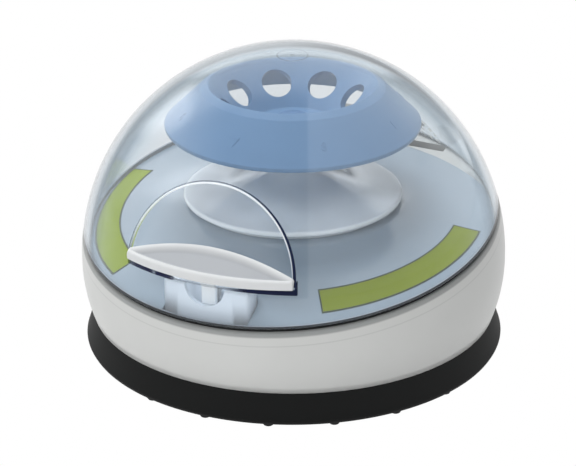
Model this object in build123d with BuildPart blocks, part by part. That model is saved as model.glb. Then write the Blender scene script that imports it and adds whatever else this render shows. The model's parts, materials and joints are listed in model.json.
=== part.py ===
"""Mini centrifuge with a clear domed lid and an eight place angle rotor.

Millimetres, +Z up, front towards -Y. The origin is on the bench, under the spin axis.
"""

import os
from math import cos, radians, sin, sqrt

from build123d import *

os.makedirs("parts", exist_ok=True)

# Fits and clearances
running_gap = 0.05  # shaft in a bush, pin in an eye
slide_gap = 0.3  # between pieces that move past each other
seat_gap = 0.2  # between fixed pieces that drop into each other
press_gap = 0.02  # pin or bush held in its bore

# The sphere that the clear lid and the white casing share
shell_radius = 76.0
shell_centre_z = 32.1
lid_wall = 2.5
casing_wall = 2.5
shell_arc = 25.0  # degrees of the sphere above its equator, before the seam cuts it

# The sloping plane where the lid meets the casing, low at the front
seam_height = 48.7  # on the spin axis
seam_slope = 8.9  # degrees
seal_depth = 1.0  # the casing's rim lies this far below the seam
seal_rise = 0.2  # the seal stands this far above the seam
seal_width = 1.3
seal_setback = 1.1  # leaves the casing's rounded rim in view
rim_round = 1.5
seam = Plane(
    origin=(0, 0, seam_height),
    x_dir=(1, 0, 0),
    z_dir=(0, -sin(radians(seam_slope)), cos(radians(seam_slope))),
)
seam_to_centre = (seam_height - shell_centre_z) * cos(radians(seam_slope))
rim_shift = -(seam_height - shell_centre_z) * sin(radians(seam_slope))


def shell_reach(height, wall=0.0):
    """Radius of the shell, or of a sphere inside it, at a height."""
    return sqrt((shell_radius - wall) ** 2 - (height - shell_centre_z) ** 2)


def rim_radius(sphere_radius, lift=0.0):
    """Radius of the circle that a plane parallel to the seam cuts from the sphere."""
    return sqrt(sphere_radius**2 - (seam_to_centre + lift) ** 2)


# Casing's lower edge, foot ring and base plate
casing_foot = shell_radius - 3.5
nub_count = 20
nub_radius = 1.5
nub_height = 1.5
nub_setback = 3.6  # from the ring's toe to the middle of a nub
ring_flare = 3.2  # the toe stands this far out from the ring's top edge
ring_top = 12.4
ring_top_radius = casing_foot - 0.4
ring_outer = ring_top_radius + ring_flare
ring_toe = 1.3  # height of the rounded toe
ring_inner = casing_foot - 6.5
nub_circle_radius = ring_outer - nub_setback
ledge_height = 3.0  # of the step that carries the base plate
plate_thickness = 2.5
plate_radius = casing_foot - 3.2
plate_bottom = nub_height + ledge_height
plate_top = plate_bottom + plate_thickness
shelf_thickness = 2.2
skirt_radius = plate_radius
skirt_wall = 2.0
vent_count = 12
vent_circle_radius = 22.0
vent_length = 14.0
vent_width = 2.4

# Columns that take the screws from below
column_radius = 3.6
column_circle_radius = plate_radius - 7.8
column_count = 4
column_start = 45.0  # degrees
column_top = 24.1
web_thickness = 2.2
web_reach = casing_foot - 0.2
web_bottom = ring_top + 1.5
web_top = 22.1
pillar_radius = 3.5
pillar_circle_radius = 52.0
pillar_count = 3
pillar_start = 30.0  # degrees
screw_radius = 1.5
screw_pilot = 1.35
screw_head_radius = 2.9
screw_head_height = 1.6
screw_length = 13.0

# Deck under the rotor
deck_thickness = 2.2
deck_floor_top = 53.1
deck_floor_radius = 40.0
deck_edge_gap = 0.3
deck_hole = 8.0
lip_width = 3.6
lip_thickness = 2.0
lip_gap = 0.03

# Crescent ledge at the back, with the slot for the lid's interlock blade
crescent_radius = 95.0
crescent_front_y = shell_radius - 18.0
crescent_centre_y = crescent_front_y - crescent_radius
crescent_thickness = 2.5
slot_left = 20.0
slot_right = 36.0
slot_back = shell_radius - 16.0
slot_front = slot_back - 4.4
slot_height = 12.0

# Motor, hung under the deck on rubber grommets
motor_radius = 17.9
motor_bottom = 13.1
motor_top = 46.1
can_wall = 1.2
cap_thickness = 2.0
terminal_width = 0.8
terminal_depth = 3.0
nose_radius = 5.0
nose_height = 3.5
bush_radius = 3.0
shaft_radius = 1.5875
shaft_bottom = 12.1
magnet_wall = 4.0
magnet_span = 130.0  # degrees
air_gap = 0.6
stack_length = 18.0
slot_width = 2.0
pole_count = 3
bracket_thickness = 1.6
grommet_circle_radius = 27.0
grommet_count = 3
grommet_start = 90.0  # degrees
grommet_radius = 5.0
grommet_neck = 3.0
grommet_flange = 1.5

# Cover over the motor's top, the pale disc under the rotor
cover_radius = 38.9
cover_top = 56.6
cover_rim = 2.0
cover_foot = 36.0
cover_wall = 2.0
cover_neck_radius = 8.0
cover_neck_top = 67.1
cover_hole = 2.6
cover_bend = 0.55  # of the radius, where the disc starts to rise
cover_bend_rise = 2.2

# Rotor
rotor_edge_radius = 44.8
rotor_edge_z = 81.5
shoulder_radius = 32.2
shoulder_z = 94.5
lip_radius = 29.3
lip_z = 96.1
tube_circle_radius = 21.7
tube_centre_z = 88.7
tube_hole_radius = 5.5
tube_count = 8
tube_turn = -4.5  # degrees, the rotor's rest angle
bowl_floor_radius = 14.5
rotor_wall = 2.2
hub_radius = 7.0
hub_bottom = 68.1
hub_top = 82.1
knob_radius = 6.0
knob_height = 2.6
knob_stem = 1.0
knob_stem_length = 8.0

# Flat window and finger tab at the lid's front
window_foot_y = 9.2 - shell_radius
window_foot_z = 51.1
window_lean = 0.293  # run per unit of rise
sill_top = 51.6
sill_thickness = 2.0
tab_half_width = 31.0
tab_overhang = 0.6
tab_edge = 2.6
tab_back_radius = shell_radius - 12.0
tab_back_z = 60.7
tab_rim = 1.9
tab_dish = 1.2

# Latch
boss_half_width = 15.5
boss_front_radius = shell_radius - 5.8
boss_back_y = 17.8 - shell_radius
boss_top = 48.7
boss_corner = 5.0
boss_round = 1.6
pocket_half_width = 9.0
pocket_front_y = 1.8 - boss_front_radius
pocket_back_y = boss_back_y - 2.6
pocket_floor = 38.1
scoop_radius = 7.4
tongue_half_width = 2.6
tongue_front_y = pocket_front_y + 1.4
tongue_thickness = 1.8
tongue_bottom = 40.1
spring_strip = 0.5
spring_half_width = 3.5
spring_foot = 2.6
spring_top = 46.1
spring_bow = 0.7
spring_bend = 3.0  # length of the bent tip

# Hinge at the back
hinge_z = 60.6
hinge_y = shell_reach(hinge_z) + 2.85
knuckle_radius = 2.6
knuckle_half_width = 15.0
eye_width = 8.0
pin_radius = 1.0
knuckle_root = 7.1  # depth of the knuckle's root in front of the pin
knuckle_drop = 11.5  # down from the pin to where its back meets the wall
eye_root = 10.1  # depth of the lid's eyes in front of the pin
eye_rise = 8.5

# Interlock switch under the slot
blade_left = 22.0
blade_right = 32.5
blade_thickness = 1.3
blade_bottom = 52.1
switch_left = 18.0
switch_right = 33.0
switch_front = 56.2
switch_back = 61.8
switch_height = 10.0
switch_shelf = 2.2
switch_bottom = 39.3
plunger_size = 2.2
plunger_x = 28.0
plunger_depth = 2.0

# Power inlet and rocker switch in the back wall
panel_z = 26.1
panel_radius = shell_radius - 1.4
rocker_turn = 17.0  # degrees right of the back centre
inlet_turn = -17.0
bezel_width = 21.0
bezel_height = 15.0
bezel_thickness = 1.2
bezel_corner = 1.0
rocker_body_width = 18.4
rocker_body_height = 12.4
rocker_body_depth = 14.0
rocker_window_width = 15.6
rocker_window_height = 10.4
rocker_length = 14.4
rocker_height = 9.8
rocker_tilt = 8.0  # degrees each way
rocker_pivot_depth = 1.0
rocker_pin = 0.9
rocker_cavity = 5.5
rocker_crown = 2.4  # height of the rocker's ends over its seat
rocker_waist = 1.5
rocker_skirt = 1.2
inlet_radius = 5.0
inlet_bore = 3.1
inlet_pin = 1.0
inlet_depth = 9.0
inlet_body_width = 9.6
inlet_body_height = 11.0
inlet_body_depth = 10.0
inlet_collar = 3.6

# Circuit board on the base plate
board_width = 60.0
board_depth = 26.0
board_y = 36.0
board_thickness = 1.6
standoff_height = 6.0
standoff_radius = 3.0
board_hole_x = 26.0
board_hole_y = 9.0
board_screw_radius = 1.2
capacitor_radius = 3.15
capacitor_height = 9.0
capacitor_x = -14.0
capacitor_pitch = 9.0
chip_size = 8.0
chip_height = 2.0
socket_width = 10.0
socket_depth = 6.0
socket_height = 7.0
socket_x = 13.0
socket_pitch = 12.0
board_screw_head = 1.4


def panel_plane(turn, radius, height):
    """Plane that faces straight out of the back wall, turned about the spin axis."""
    out_x = sin(radians(turn))
    out_y = cos(radians(turn))
    return Plane(
        origin=(radius * out_x, radius * out_y, height),
        x_dir=(-out_y, out_x, 0),
        z_dir=(out_x, out_y, 0),
    )


def window_plane(inset=0.0):
    """Plane of the lid's flat window, moved inwards by inset, facing forwards."""
    lean = sqrt(1 + window_lean**2)
    forward = (0, -1 / lean, window_lean / lean)
    origin = (0, window_foot_y + inset * -forward[1], window_foot_z - inset * forward[2])
    return Plane(origin=origin, x_dir=(1, 0, 0), z_dir=forward)


def write(piece, name):
    """Label a finished piece and save it under its name."""
    piece.part.label = name
    export_step(piece.part, f"parts/{name}.step")


# Surface of the deck: straight lines from a level inner circle to the sloping rim
deck_edge_radius = rim_radius(shell_radius - casing_wall, -seal_depth) - deck_edge_gap
with BuildPart() as slope_former:
    with BuildSketch(Plane.XY.offset(deck_floor_top)):
        Circle(deck_floor_radius)
    with BuildSketch(seam.offset(-seal_depth)):
        with Locations((0, rim_shift)):
            Circle(deck_edge_radius)
    loft(ruled=True)
deck_slope = slope_former.faces().filter_by(GeomType.PLANE, reverse=True)[0]


# Casing: the white shell from the foot ring to the seam
with BuildPart() as casing:
    with BuildSketch(Plane.XZ):
        with BuildLine():
            outer_arc = CenterArc((0, shell_centre_z), shell_radius, 0, shell_arc)
            inner_arc = CenterArc((0, shell_centre_z), shell_radius - casing_wall, 0, shell_arc)
            outer_side = TangentArc(outer_arc @ 0, (casing_foot, ring_top), tangent=(0, -1))
            shelf_top = ring_top + shelf_thickness
            inner_side = TangentArc(
                inner_arc @ 0, (casing_foot - casing_wall, shelf_top), tangent=(0, -1)
            )
            Line(outer_arc @ 1, inner_arc @ 1)
            Polyline(
                outer_side @ 1,
                (skirt_radius, ring_top),
                (skirt_radius, plate_top),
                (skirt_radius - skirt_wall, plate_top),
                (skirt_radius - skirt_wall, shelf_top),
                inner_side @ 1,
            )
        make_face()
    revolve(axis=Axis.Z)
    split(bisect_by=seam.offset(-seal_depth), keep=Keep.BOTTOM)
    rim_edges = casing.edges().filter_by(GeomType.CIRCLE).group_by(Axis.Z)[-1]
    fillet(rim_edges.sort_by(SortBy.RADIUS)[-1], radius=rim_round)
    # Crescent ledge behind the deck
    with BuildSketch(seam.offset(-seal_depth)):
        with Locations((0, rim_shift)):
            Circle(rim_radius(shell_radius - casing_wall / 2, -seal_depth))
        with Locations((0, crescent_centre_y)):
            Circle(crescent_radius, mode=Mode.SUBTRACT)
    extrude(amount=-crescent_thickness)
    # Lip that carries the deck's edge
    lip_top = seal_depth + deck_thickness * cos(radians(seam_slope)) + lip_gap
    with BuildSketch(seam.offset(-lip_top)):
        with Locations((0, rim_shift)):
            Circle(rim_radius(shell_radius - casing_wall / 2, -lip_top))
            Circle(deck_edge_radius - lip_width, mode=Mode.SUBTRACT)
    extrude(amount=-lip_thickness)
    # Screw columns with webs to the wall
    with BuildSketch(Plane.XY.offset(plate_top)):
        with PolarLocations(column_circle_radius, column_count, start_angle=column_start):
            Circle(column_radius)
    extrude(amount=column_top - plate_top)
    with BuildSketch(Plane.XY.offset(web_bottom)):
        with PolarLocations((column_circle_radius + web_reach) / 2, column_count, start_angle=column_start):
            Rectangle(web_reach - column_circle_radius, web_thickness)
    extrude(amount=web_top - web_bottom)
    with BuildSketch(Plane.XY.offset(plate_top)):
        with PolarLocations(column_circle_radius, column_count, start_angle=column_start):
            Circle(screw_pilot)
    extrude(amount=screw_length, mode=Mode.SUBTRACT)
    # Hinge knuckle, blended into the back wall
    with BuildSketch(Plane.YZ.offset(-knuckle_half_width)):
        with Locations((hinge_y, hinge_z)):
            Circle(knuckle_radius)
        with BuildLine():
            back_z = hinge_z - knuckle_drop
            Polyline(
                (hinge_y - knuckle_root, back_z - knuckle_radius),
                (hinge_y - knuckle_root, hinge_z - 1.8 * knuckle_radius),
                (hinge_y - knuckle_radius, hinge_z - 0.9 * knuckle_radius),
                (hinge_y, hinge_z),
                (hinge_y + knuckle_radius, hinge_z - knuckle_radius / 4),
                (shell_reach(back_z, casing_wall / 3), back_z),
                close=True,
            )
        make_face()
    extrude(amount=2 * knuckle_half_width)
    with Locations((-knuckle_half_width - 1, hinge_y, hinge_z)):
        Cylinder(
            pin_radius + press_gap,
            2 * knuckle_half_width + 2,
            rotation=(0, 90, 0),
            align=(Align.CENTER, Align.CENTER, Align.MIN),
            mode=Mode.SUBTRACT,
        )
    # Shelf for the interlock switch
    with BuildSketch(Plane.XY.offset(switch_bottom - switch_shelf)):
        with Locations(((switch_left + switch_right) / 2, (switch_front + shell_radius) / 2)):
            Rectangle(switch_right - switch_left, shell_radius - switch_front)
        Circle(shell_radius - casing_wall / 2, mode=Mode.INTERSECT)
    extrude(amount=switch_shelf)
    # Slot for the interlock blade
    with BuildSketch(Plane.XY.offset(blade_bottom - switch_shelf)):
        with Locations(((slot_left + slot_right) / 2, (slot_front + slot_back) / 2)):
            Rectangle(slot_right - slot_left, slot_back - slot_front)
    extrude(amount=slot_height, mode=Mode.SUBTRACT)
    # Flats and holes for the rocker switch and the power inlet
    with BuildSketch(panel_plane(rocker_turn, panel_radius, panel_z)):
        RectangleRounded(bezel_width + 2 * seat_gap, bezel_height + 2 * seat_gap, bezel_corner + seat_gap)
    extrude(amount=2 * casing_wall, mode=Mode.SUBTRACT)
    with BuildSketch(panel_plane(rocker_turn, panel_radius, panel_z)):
        Rectangle(rocker_body_width + 2 * seat_gap, rocker_body_height + 2 * seat_gap)
    extrude(amount=-2 * casing_wall, mode=Mode.SUBTRACT)
    with BuildSketch(panel_plane(inlet_turn, panel_radius, panel_z)):
        Circle(inlet_radius + inlet_collar / 2)
    extrude(amount=2 * casing_wall, mode=Mode.SUBTRACT)
    with BuildSketch(panel_plane(inlet_turn, panel_radius, panel_z)):
        Circle(inlet_radius + seat_gap)
    extrude(amount=-2 * casing_wall, mode=Mode.SUBTRACT)
write(casing, "casing")


# Seal: the dark line between the casing and the lid
with BuildPart() as rim_seal:
    with BuildSketch(seam.offset(-seal_depth)):
        with Locations((0, rim_shift)):
            Circle(rim_radius(shell_radius) - seal_setback)
            Circle(rim_radius(shell_radius) - seal_setback - seal_width, mode=Mode.SUBTRACT)
    extrude(amount=seal_depth + seal_rise)
write(rim_seal, "rim_seal")


# Deck: the grey floor under the rotor, with its pillars
with BuildPart() as deck:
    extrude(deck_slope, amount=deck_thickness, dir=(0, 0, -1))
    with BuildSketch(Plane.XY.offset(deck_floor_top)):
        Circle(deck_floor_radius)
    extrude(amount=-deck_thickness)
    with BuildSketch(Plane.XY.offset(plate_top)):
        with PolarLocations(pillar_circle_radius, pillar_count, start_angle=pillar_start):
            Circle(pillar_radius)
    extrude(amount=deck_floor_top - plate_top)
    extrude(deck_slope, amount=shell_radius, dir=(0, 0, 1), mode=Mode.SUBTRACT)
    # Bosses for the motor screws, hidden by the motor cover
    with BuildSketch(Plane.XY.offset(deck_floor_top)):
        with PolarLocations(grommet_circle_radius, grommet_count, start_angle=grommet_start):
            Circle(screw_radius + 2)
    extrude(amount=grommet_flange)
    with BuildSketch(Plane.XY.offset(deck_floor_top - deck_thickness)):
        with PolarLocations(grommet_circle_radius, grommet_count, start_angle=grommet_start):
            Circle(screw_pilot)
        Circle(deck_hole)
    extrude(amount=2 * deck_thickness, mode=Mode.SUBTRACT)
    with BuildSketch(Plane.XY.offset(plate_top)):
        with PolarLocations(pillar_circle_radius, pillar_count, start_angle=pillar_start):
            Circle(screw_pilot)
    extrude(amount=screw_length, mode=Mode.SUBTRACT)
    # Back edge follows the crescent ledge
    with BuildSketch(Plane.XY):
        with Locations((0, crescent_centre_y)):
            Circle(crescent_radius - deck_edge_gap)
    extrude(amount=shell_radius, mode=Mode.INTERSECT)
    # Window for the latch boss
    with BuildSketch(Plane.XY.offset(ring_top)):
        with Locations((0, boss_back_y + seat_gap - shell_radius / 2)):
            RectangleRounded(2 * (boss_half_width + seat_gap), shell_radius, boss_corner)
    extrude(amount=shell_radius, mode=Mode.SUBTRACT)
write(deck, "deck")


# Foot ring: soft black ring with nubs that stand on the bench
with BuildPart() as foot_ring:
    with BuildSketch(Plane.XZ):
        with BuildLine():
            toe_out = (ring_outer, nub_height + ring_toe)
            flank = Line((ring_top_radius, ring_top), toe_out)
            toe = TangentArc(flank @ 1, (ring_outer - ring_toe, nub_height), tangent=flank % 1)
            Polyline(
                toe @ 1,
                (ring_inner, nub_height),
                (ring_inner, plate_bottom),
                (plate_radius + seat_gap, plate_bottom),
                (plate_radius + seat_gap, ring_top),
                flank @ 0,
            )
        make_face()
    revolve(axis=Axis.Z)
    with BuildSketch(Plane.XY):
        with PolarLocations(nub_circle_radius, nub_count, start_angle=-90):
            Circle(nub_radius)
    extrude(amount=plate_bottom)
write(foot_ring, "foot_ring")


# Base plate, with standoffs for the circuit board and slots for air
board_holes = [
    (side * board_hole_x, board_y + row * board_hole_y) for side in (-1, 1) for row in (-1, 1)
]
with BuildPart() as base_plate:
    with BuildSketch(Plane.XY.offset(plate_bottom)):
        Circle(plate_radius)
        with PolarLocations(column_circle_radius, column_count, start_angle=column_start):
            Circle(screw_radius + seat_gap, mode=Mode.SUBTRACT)
        with PolarLocations(pillar_circle_radius, pillar_count, start_angle=pillar_start):
            Circle(screw_radius + seat_gap, mode=Mode.SUBTRACT)
        with PolarLocations(vent_circle_radius, vent_count):
            SlotOverall(vent_length, vent_width, mode=Mode.SUBTRACT)
    extrude(amount=plate_thickness)
    with BuildSketch(Plane.XY.offset(plate_top)):
        with Locations(*board_holes):
            Circle(standoff_radius)
    extrude(amount=standoff_height)
    with BuildSketch(Plane.XY.offset(plate_top)):
        with Locations(*board_holes):
            Circle(board_screw_radius)
    extrude(amount=standoff_height, mode=Mode.SUBTRACT)
write(base_plate, "base_plate")


def pan_screws(places, head_z, shank, head, head_height, length):
    """Pan head screws that point upwards, one solid at each place."""
    with BuildPart() as screws:
        with BuildSketch(Plane.XY.offset(head_z)):
            with Locations(*places):
                Circle(head)
        extrude(amount=-head_height)
        fillet(screws.edges().group_by(Axis.Z)[0], radius=head_height / 2)
        with BuildSketch(Plane.XY.offset(head_z)):
            with Locations(*places):
                Circle(shank)
        extrude(amount=length)
    return screws


def on_circle(radius, count, start):
    """Points evenly spaced on a circle about the spin axis."""
    step = 360 / count
    turns = [radians(start + step * number) for number in range(count)]
    return [(radius * cos(turn), radius * sin(turn)) for turn in turns]


# Screws that hold the base plate to the casing and to the deck
base_screws = pan_screws(
    on_circle(column_circle_radius, column_count, column_start)
    + on_circle(pillar_circle_radius, pillar_count, pillar_start),
    plate_bottom,
    screw_pilot - press_gap,
    screw_head_radius,
    screw_head_height,
    screw_length,
)
write(base_screws, "base_screws")


# Motor can with its nose, open at the bottom
with BuildPart() as motor_can:
    with BuildSketch(Plane.XY.offset(motor_bottom)):
        Circle(motor_radius)
    extrude(amount=motor_top - motor_bottom)
    with BuildSketch(Plane.XY.offset(motor_bottom)):
        Circle(motor_radius - can_wall)
    extrude(amount=motor_top - motor_bottom - can_wall, mode=Mode.SUBTRACT)
    with BuildSketch(Plane.XY.offset(motor_top)):
        Circle(nose_radius)
    extrude(amount=nose_height)
    with BuildSketch(Plane.XY.offset(motor_top - can_wall)):
        Circle(bush_radius + press_gap)
    extrude(amount=can_wall + nose_height, mode=Mode.SUBTRACT)
write(motor_can, "motor_can")


# End cap that closes the motor, with two terminals
with BuildPart() as motor_end_cap:
    with BuildSketch(Plane.XY.offset(motor_bottom)):
        Circle(motor_radius - can_wall - press_gap)
        Circle(bush_radius + press_gap, mode=Mode.SUBTRACT)
    extrude(amount=cap_thickness)
    with BuildSketch(Plane.XY.offset(motor_bottom)):
        with Locations((-motor_radius / 2, 0), (motor_radius / 2, 0)):
            Rectangle(terminal_width, terminal_depth)
    extrude(amount=-cap_thickness)
write(motor_end_cap, "motor_end_cap")


# Sintered bushes at both ends of the motor
with BuildPart() as front_bush:
    with BuildSketch(Plane.XY.offset(motor_top - can_wall)):
        Circle(bush_radius)
        Circle(shaft_radius + running_gap, mode=Mode.SUBTRACT)
    extrude(amount=can_wall + nose_height)
write(front_bush, "front_bush")

with BuildPart() as rear_bush:
    with BuildSketch(Plane.XY.offset(motor_bottom)):
        Circle(bush_radius)
        Circle(shaft_radius + running_gap, mode=Mode.SUBTRACT)
    extrude(amount=cap_thickness)
write(rear_bush, "rear_bush")


# Field magnets: two arcs against the can's wall
magnet_outer = motor_radius - can_wall - press_gap
magnet_inner = magnet_outer - magnet_wall
stack_middle = (motor_bottom + motor_top) / 2
with BuildPart() as field_magnets:
    with BuildSketch(Plane.XY.offset(stack_middle - stack_length / 2)):
        Circle(magnet_outer)
        Circle(magnet_inner, mode=Mode.SUBTRACT)
        gap_width = 2 * magnet_outer * cos(radians(magnet_span / 2))
        Rectangle(2 * motor_radius, gap_width, mode=Mode.SUBTRACT)
    extrude(amount=stack_length)
write(field_magnets, "field_magnets")


# Armature: a slotted iron stack and the commutator, pressed on the shaft
stack_radius = magnet_inner - air_gap
with BuildPart() as armature:
    with BuildSketch(Plane.XY.offset(stack_middle - stack_length / 2)):
        Circle(stack_radius)
        with PolarLocations(stack_radius, pole_count):
            Rectangle(stack_radius, slot_width, mode=Mode.SUBTRACT)
        with PolarLocations(stack_radius * 0.62, pole_count):
            Circle(stack_radius * 0.2, mode=Mode.SUBTRACT)
        Circle(shaft_radius, mode=Mode.SUBTRACT)
    extrude(amount=stack_length)
    with BuildSketch(Plane.XY.offset(motor_bottom + cap_thickness + slide_gap)):
        Circle(bush_radius + 1)
        Circle(shaft_radius, mode=Mode.SUBTRACT)
    extrude(amount=stack_middle - stack_length / 2 - motor_bottom - cap_thickness - slide_gap)
write(armature, "armature")


# Drive shaft, tapped at the top for the knob
shaft_top = hub_top - rotor_wall
with BuildPart() as drive_shaft:
    with BuildSketch(Plane.XY.offset(shaft_bottom)):
        Circle(shaft_radius)
    extrude(amount=shaft_top - shaft_bottom)
    with BuildSketch(Plane.XY.offset(shaft_top)):
        Circle(knob_stem + press_gap)
    extrude(amount=-knob_stem_length, mode=Mode.SUBTRACT)
write(drive_shaft, "drive_shaft")


# Motor bracket: a plate with three arms on the grommets
with BuildPart() as motor_bracket:
    with BuildSketch(Plane.XY.offset(motor_top)):
        Circle(motor_radius)
        with PolarLocations(0, grommet_count, start_angle=grommet_start):
            with Locations((grommet_circle_radius / 2, 0)):
                Rectangle(grommet_circle_radius, 2 * grommet_radius)
        with PolarLocations(grommet_circle_radius, grommet_count, start_angle=grommet_start):
            Circle(grommet_radius + 1.5)
        with PolarLocations(grommet_circle_radius, grommet_count, start_angle=grommet_start):
            Circle(grommet_neck + press_gap, mode=Mode.SUBTRACT)
        Circle(nose_radius + press_gap, mode=Mode.SUBTRACT)
    extrude(amount=bracket_thickness)
write(motor_bracket, "motor_bracket")


# Rubber grommets between the bracket and the deck
grommet_top = deck_floor_top - deck_thickness
grommet_bottom = motor_top - grommet_flange
with BuildPart() as motor_grommets:
    with BuildSketch(Plane.XY.offset(grommet_bottom)):
        with PolarLocations(grommet_circle_radius, grommet_count, start_angle=grommet_start):
            Circle(grommet_radius)
    extrude(amount=grommet_flange)
    with BuildSketch(Plane.XY.offset(motor_top)):
        with PolarLocations(grommet_circle_radius, grommet_count, start_angle=grommet_start):
            Circle(grommet_neck)
    extrude(amount=bracket_thickness)
    with BuildSketch(Plane.XY.offset(motor_top + bracket_thickness)):
        with PolarLocations(grommet_circle_radius, grommet_count, start_angle=grommet_start):
            Circle(grommet_radius)
    extrude(amount=grommet_top - motor_top - bracket_thickness)
    with BuildSketch(Plane.XY.offset(grommet_bottom)):
        with PolarLocations(grommet_circle_radius, grommet_count, start_angle=grommet_start):
            Circle(screw_radius + press_gap)
    extrude(amount=grommet_top - grommet_bottom, mode=Mode.SUBTRACT)
write(motor_grommets, "motor_grommets")

motor_screws = pan_screws(
    on_circle(grommet_circle_radius, grommet_count, grommet_start),
    grommet_bottom,
    screw_pilot - press_gap,
    screw_head_radius,
    screw_head_height,
    grommet_top + deck_thickness - grommet_bottom,
)
write(motor_screws, "motor_screws")


# Motor cover: the pale disc under the rotor, rising to a neck round the shaft
with BuildPart() as motor_cover:
    with BuildSketch(Plane.XZ):
        with BuildLine():
            rim_low = cover_top - cover_rim
            skin = Spline(
                (cover_radius - cover_rim / 2, cover_top),
                (cover_radius * cover_bend, cover_top + cover_bend_rise),
                (cover_neck_radius, cover_neck_top),
                tangents=[(-1, 0.02), (-0.45, 1)],
            )
            under = Spline(
                (cover_foot - cover_wall, cover_top - cover_wall),
                (cover_radius * cover_bend - cover_wall / 4, cover_top + cover_bend_rise - cover_wall),
                (cover_neck_radius - cover_wall, cover_neck_top - cover_wall),
                tangents=[(-1, 0.02), (-0.45, 1)],
            )
            ThreePointArc(
                (cover_radius - cover_rim / 2, rim_low),
                (cover_radius, rim_low + cover_rim / 2),
                skin @ 0,
            )
            Polyline(
                skin @ 1,
                (cover_hole, cover_neck_top),
                (cover_hole, cover_neck_top - cover_wall),
                under @ 1,
            )
            Polyline(
                (cover_radius - cover_rim / 2, rim_low),
                (cover_foot, rim_low),
                (cover_foot, deck_floor_top),
                (cover_foot - cover_wall, deck_floor_top),
                under @ 0,
            )
        make_face()
    revolve(axis=Axis.Z)
write(motor_cover, "motor_cover")


# Rotor: a thin volcano whose inner wall holds the tubes at 45 degrees
wall_run = rotor_wall * sqrt(2)
bowl_top = (lip_radius - 1.0, tube_centre_z + lip_radius - 1.0 - tube_circle_radius)
bowl_foot = (bowl_floor_radius, tube_centre_z - (tube_circle_radius - bowl_floor_radius))
edge_low = (rotor_edge_radius, rotor_edge_z - 0.6)
edge_high = (rotor_edge_radius, rotor_edge_z + 1.0)
shoulder = (shoulder_radius, shoulder_z)
rotor_lip = (lip_radius, lip_z)
rotor_roundings = ((edge_low, 0.75), (edge_high, 0.55), (shoulder, 2.2), (rotor_lip, 0.5), (bowl_foot, 1.6))
with BuildPart() as rotor:
    with BuildSketch(Plane.XZ) as rotor_outline:
        with BuildLine():
            Polyline(
                (shaft_radius, hub_bottom),
                (hub_radius, hub_bottom),
                (hub_radius, bowl_foot[1] - rotor_wall),
                (bowl_floor_radius + 1, bowl_foot[1] - rotor_wall),
                (lip_radius, bowl_top[1] - wall_run + 1),
                (shoulder_radius - 1.4, shoulder_z - rotor_wall),
                (rotor_edge_radius - wall_run, edge_low[1]),
                edge_low,
                edge_high,
                shoulder,
                rotor_lip,
                bowl_top,
                bowl_foot,
                (hub_radius, bowl_foot[1]),
                (hub_radius, hub_top),
                (knob_stem + seat_gap, hub_top),
                (knob_stem + seat_gap, shaft_top + press_gap),
                (shaft_radius, shaft_top + press_gap),
                close=True,
            )
        make_face()
        for corner, rounding in rotor_roundings:
            fillet(rotor_outline.vertices().sort_by_distance(corner)[0], radius=rounding)
    revolve(axis=Axis.Z)
    # Tube holes, square to the bowl's wall
    for number in range(tube_count):
        turn = tube_turn + number * 360 / tube_count
        out_x = cos(radians(turn))
        out_y = sin(radians(turn))
        hole_plane = Plane(
            origin=(tube_circle_radius * out_x, tube_circle_radius * out_y, tube_centre_z),
            x_dir=(-out_y, out_x, 0),
            z_dir=(-out_x, -out_y, 1),
        )
        with BuildSketch(hole_plane):
            Circle(tube_hole_radius)
        extrude(amount=rotor_wall * 1.5, both=True, mode=Mode.SUBTRACT)
write(rotor, "rotor")


# Knob that holds the rotor on the shaft
with BuildPart() as rotor_knob:
    with BuildSketch(Plane.XY.offset(hub_top)):
        Circle(knob_radius)
    extrude(amount=knob_height)
    fillet(rotor_knob.edges().group_by(Axis.Z)[-1], radius=knob_height / 3)
    with BuildSketch(Plane.XY.offset(hub_top)):
        Circle(knob_stem)
    extrude(amount=-(hub_top - shaft_top + knob_stem_length - 1))
write(rotor_knob, "rotor_knob")


# Lid: the clear dome with its flat window, sill, hinge eyes and interlock blade
seam_lift = seal_rise + slide_gap


def front_block(inset, floor_z):
    """Everything in front of the window and above a level, as a cutter."""
    with BuildPart() as block:
        with BuildSketch(window_plane(inset)):
            Rectangle(4 * shell_radius, 4 * shell_radius)
        extrude(amount=shell_radius)
        split(bisect_by=Plane.XY.offset(floor_z), keep=Keep.TOP)
    return block.part


with BuildPart() as lid_hollow:
    with Locations((0, 0, shell_centre_z)):
        Sphere(shell_radius - lid_wall)
    add(front_block(lid_wall, sill_top - sill_thickness), mode=Mode.SUBTRACT)

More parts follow.
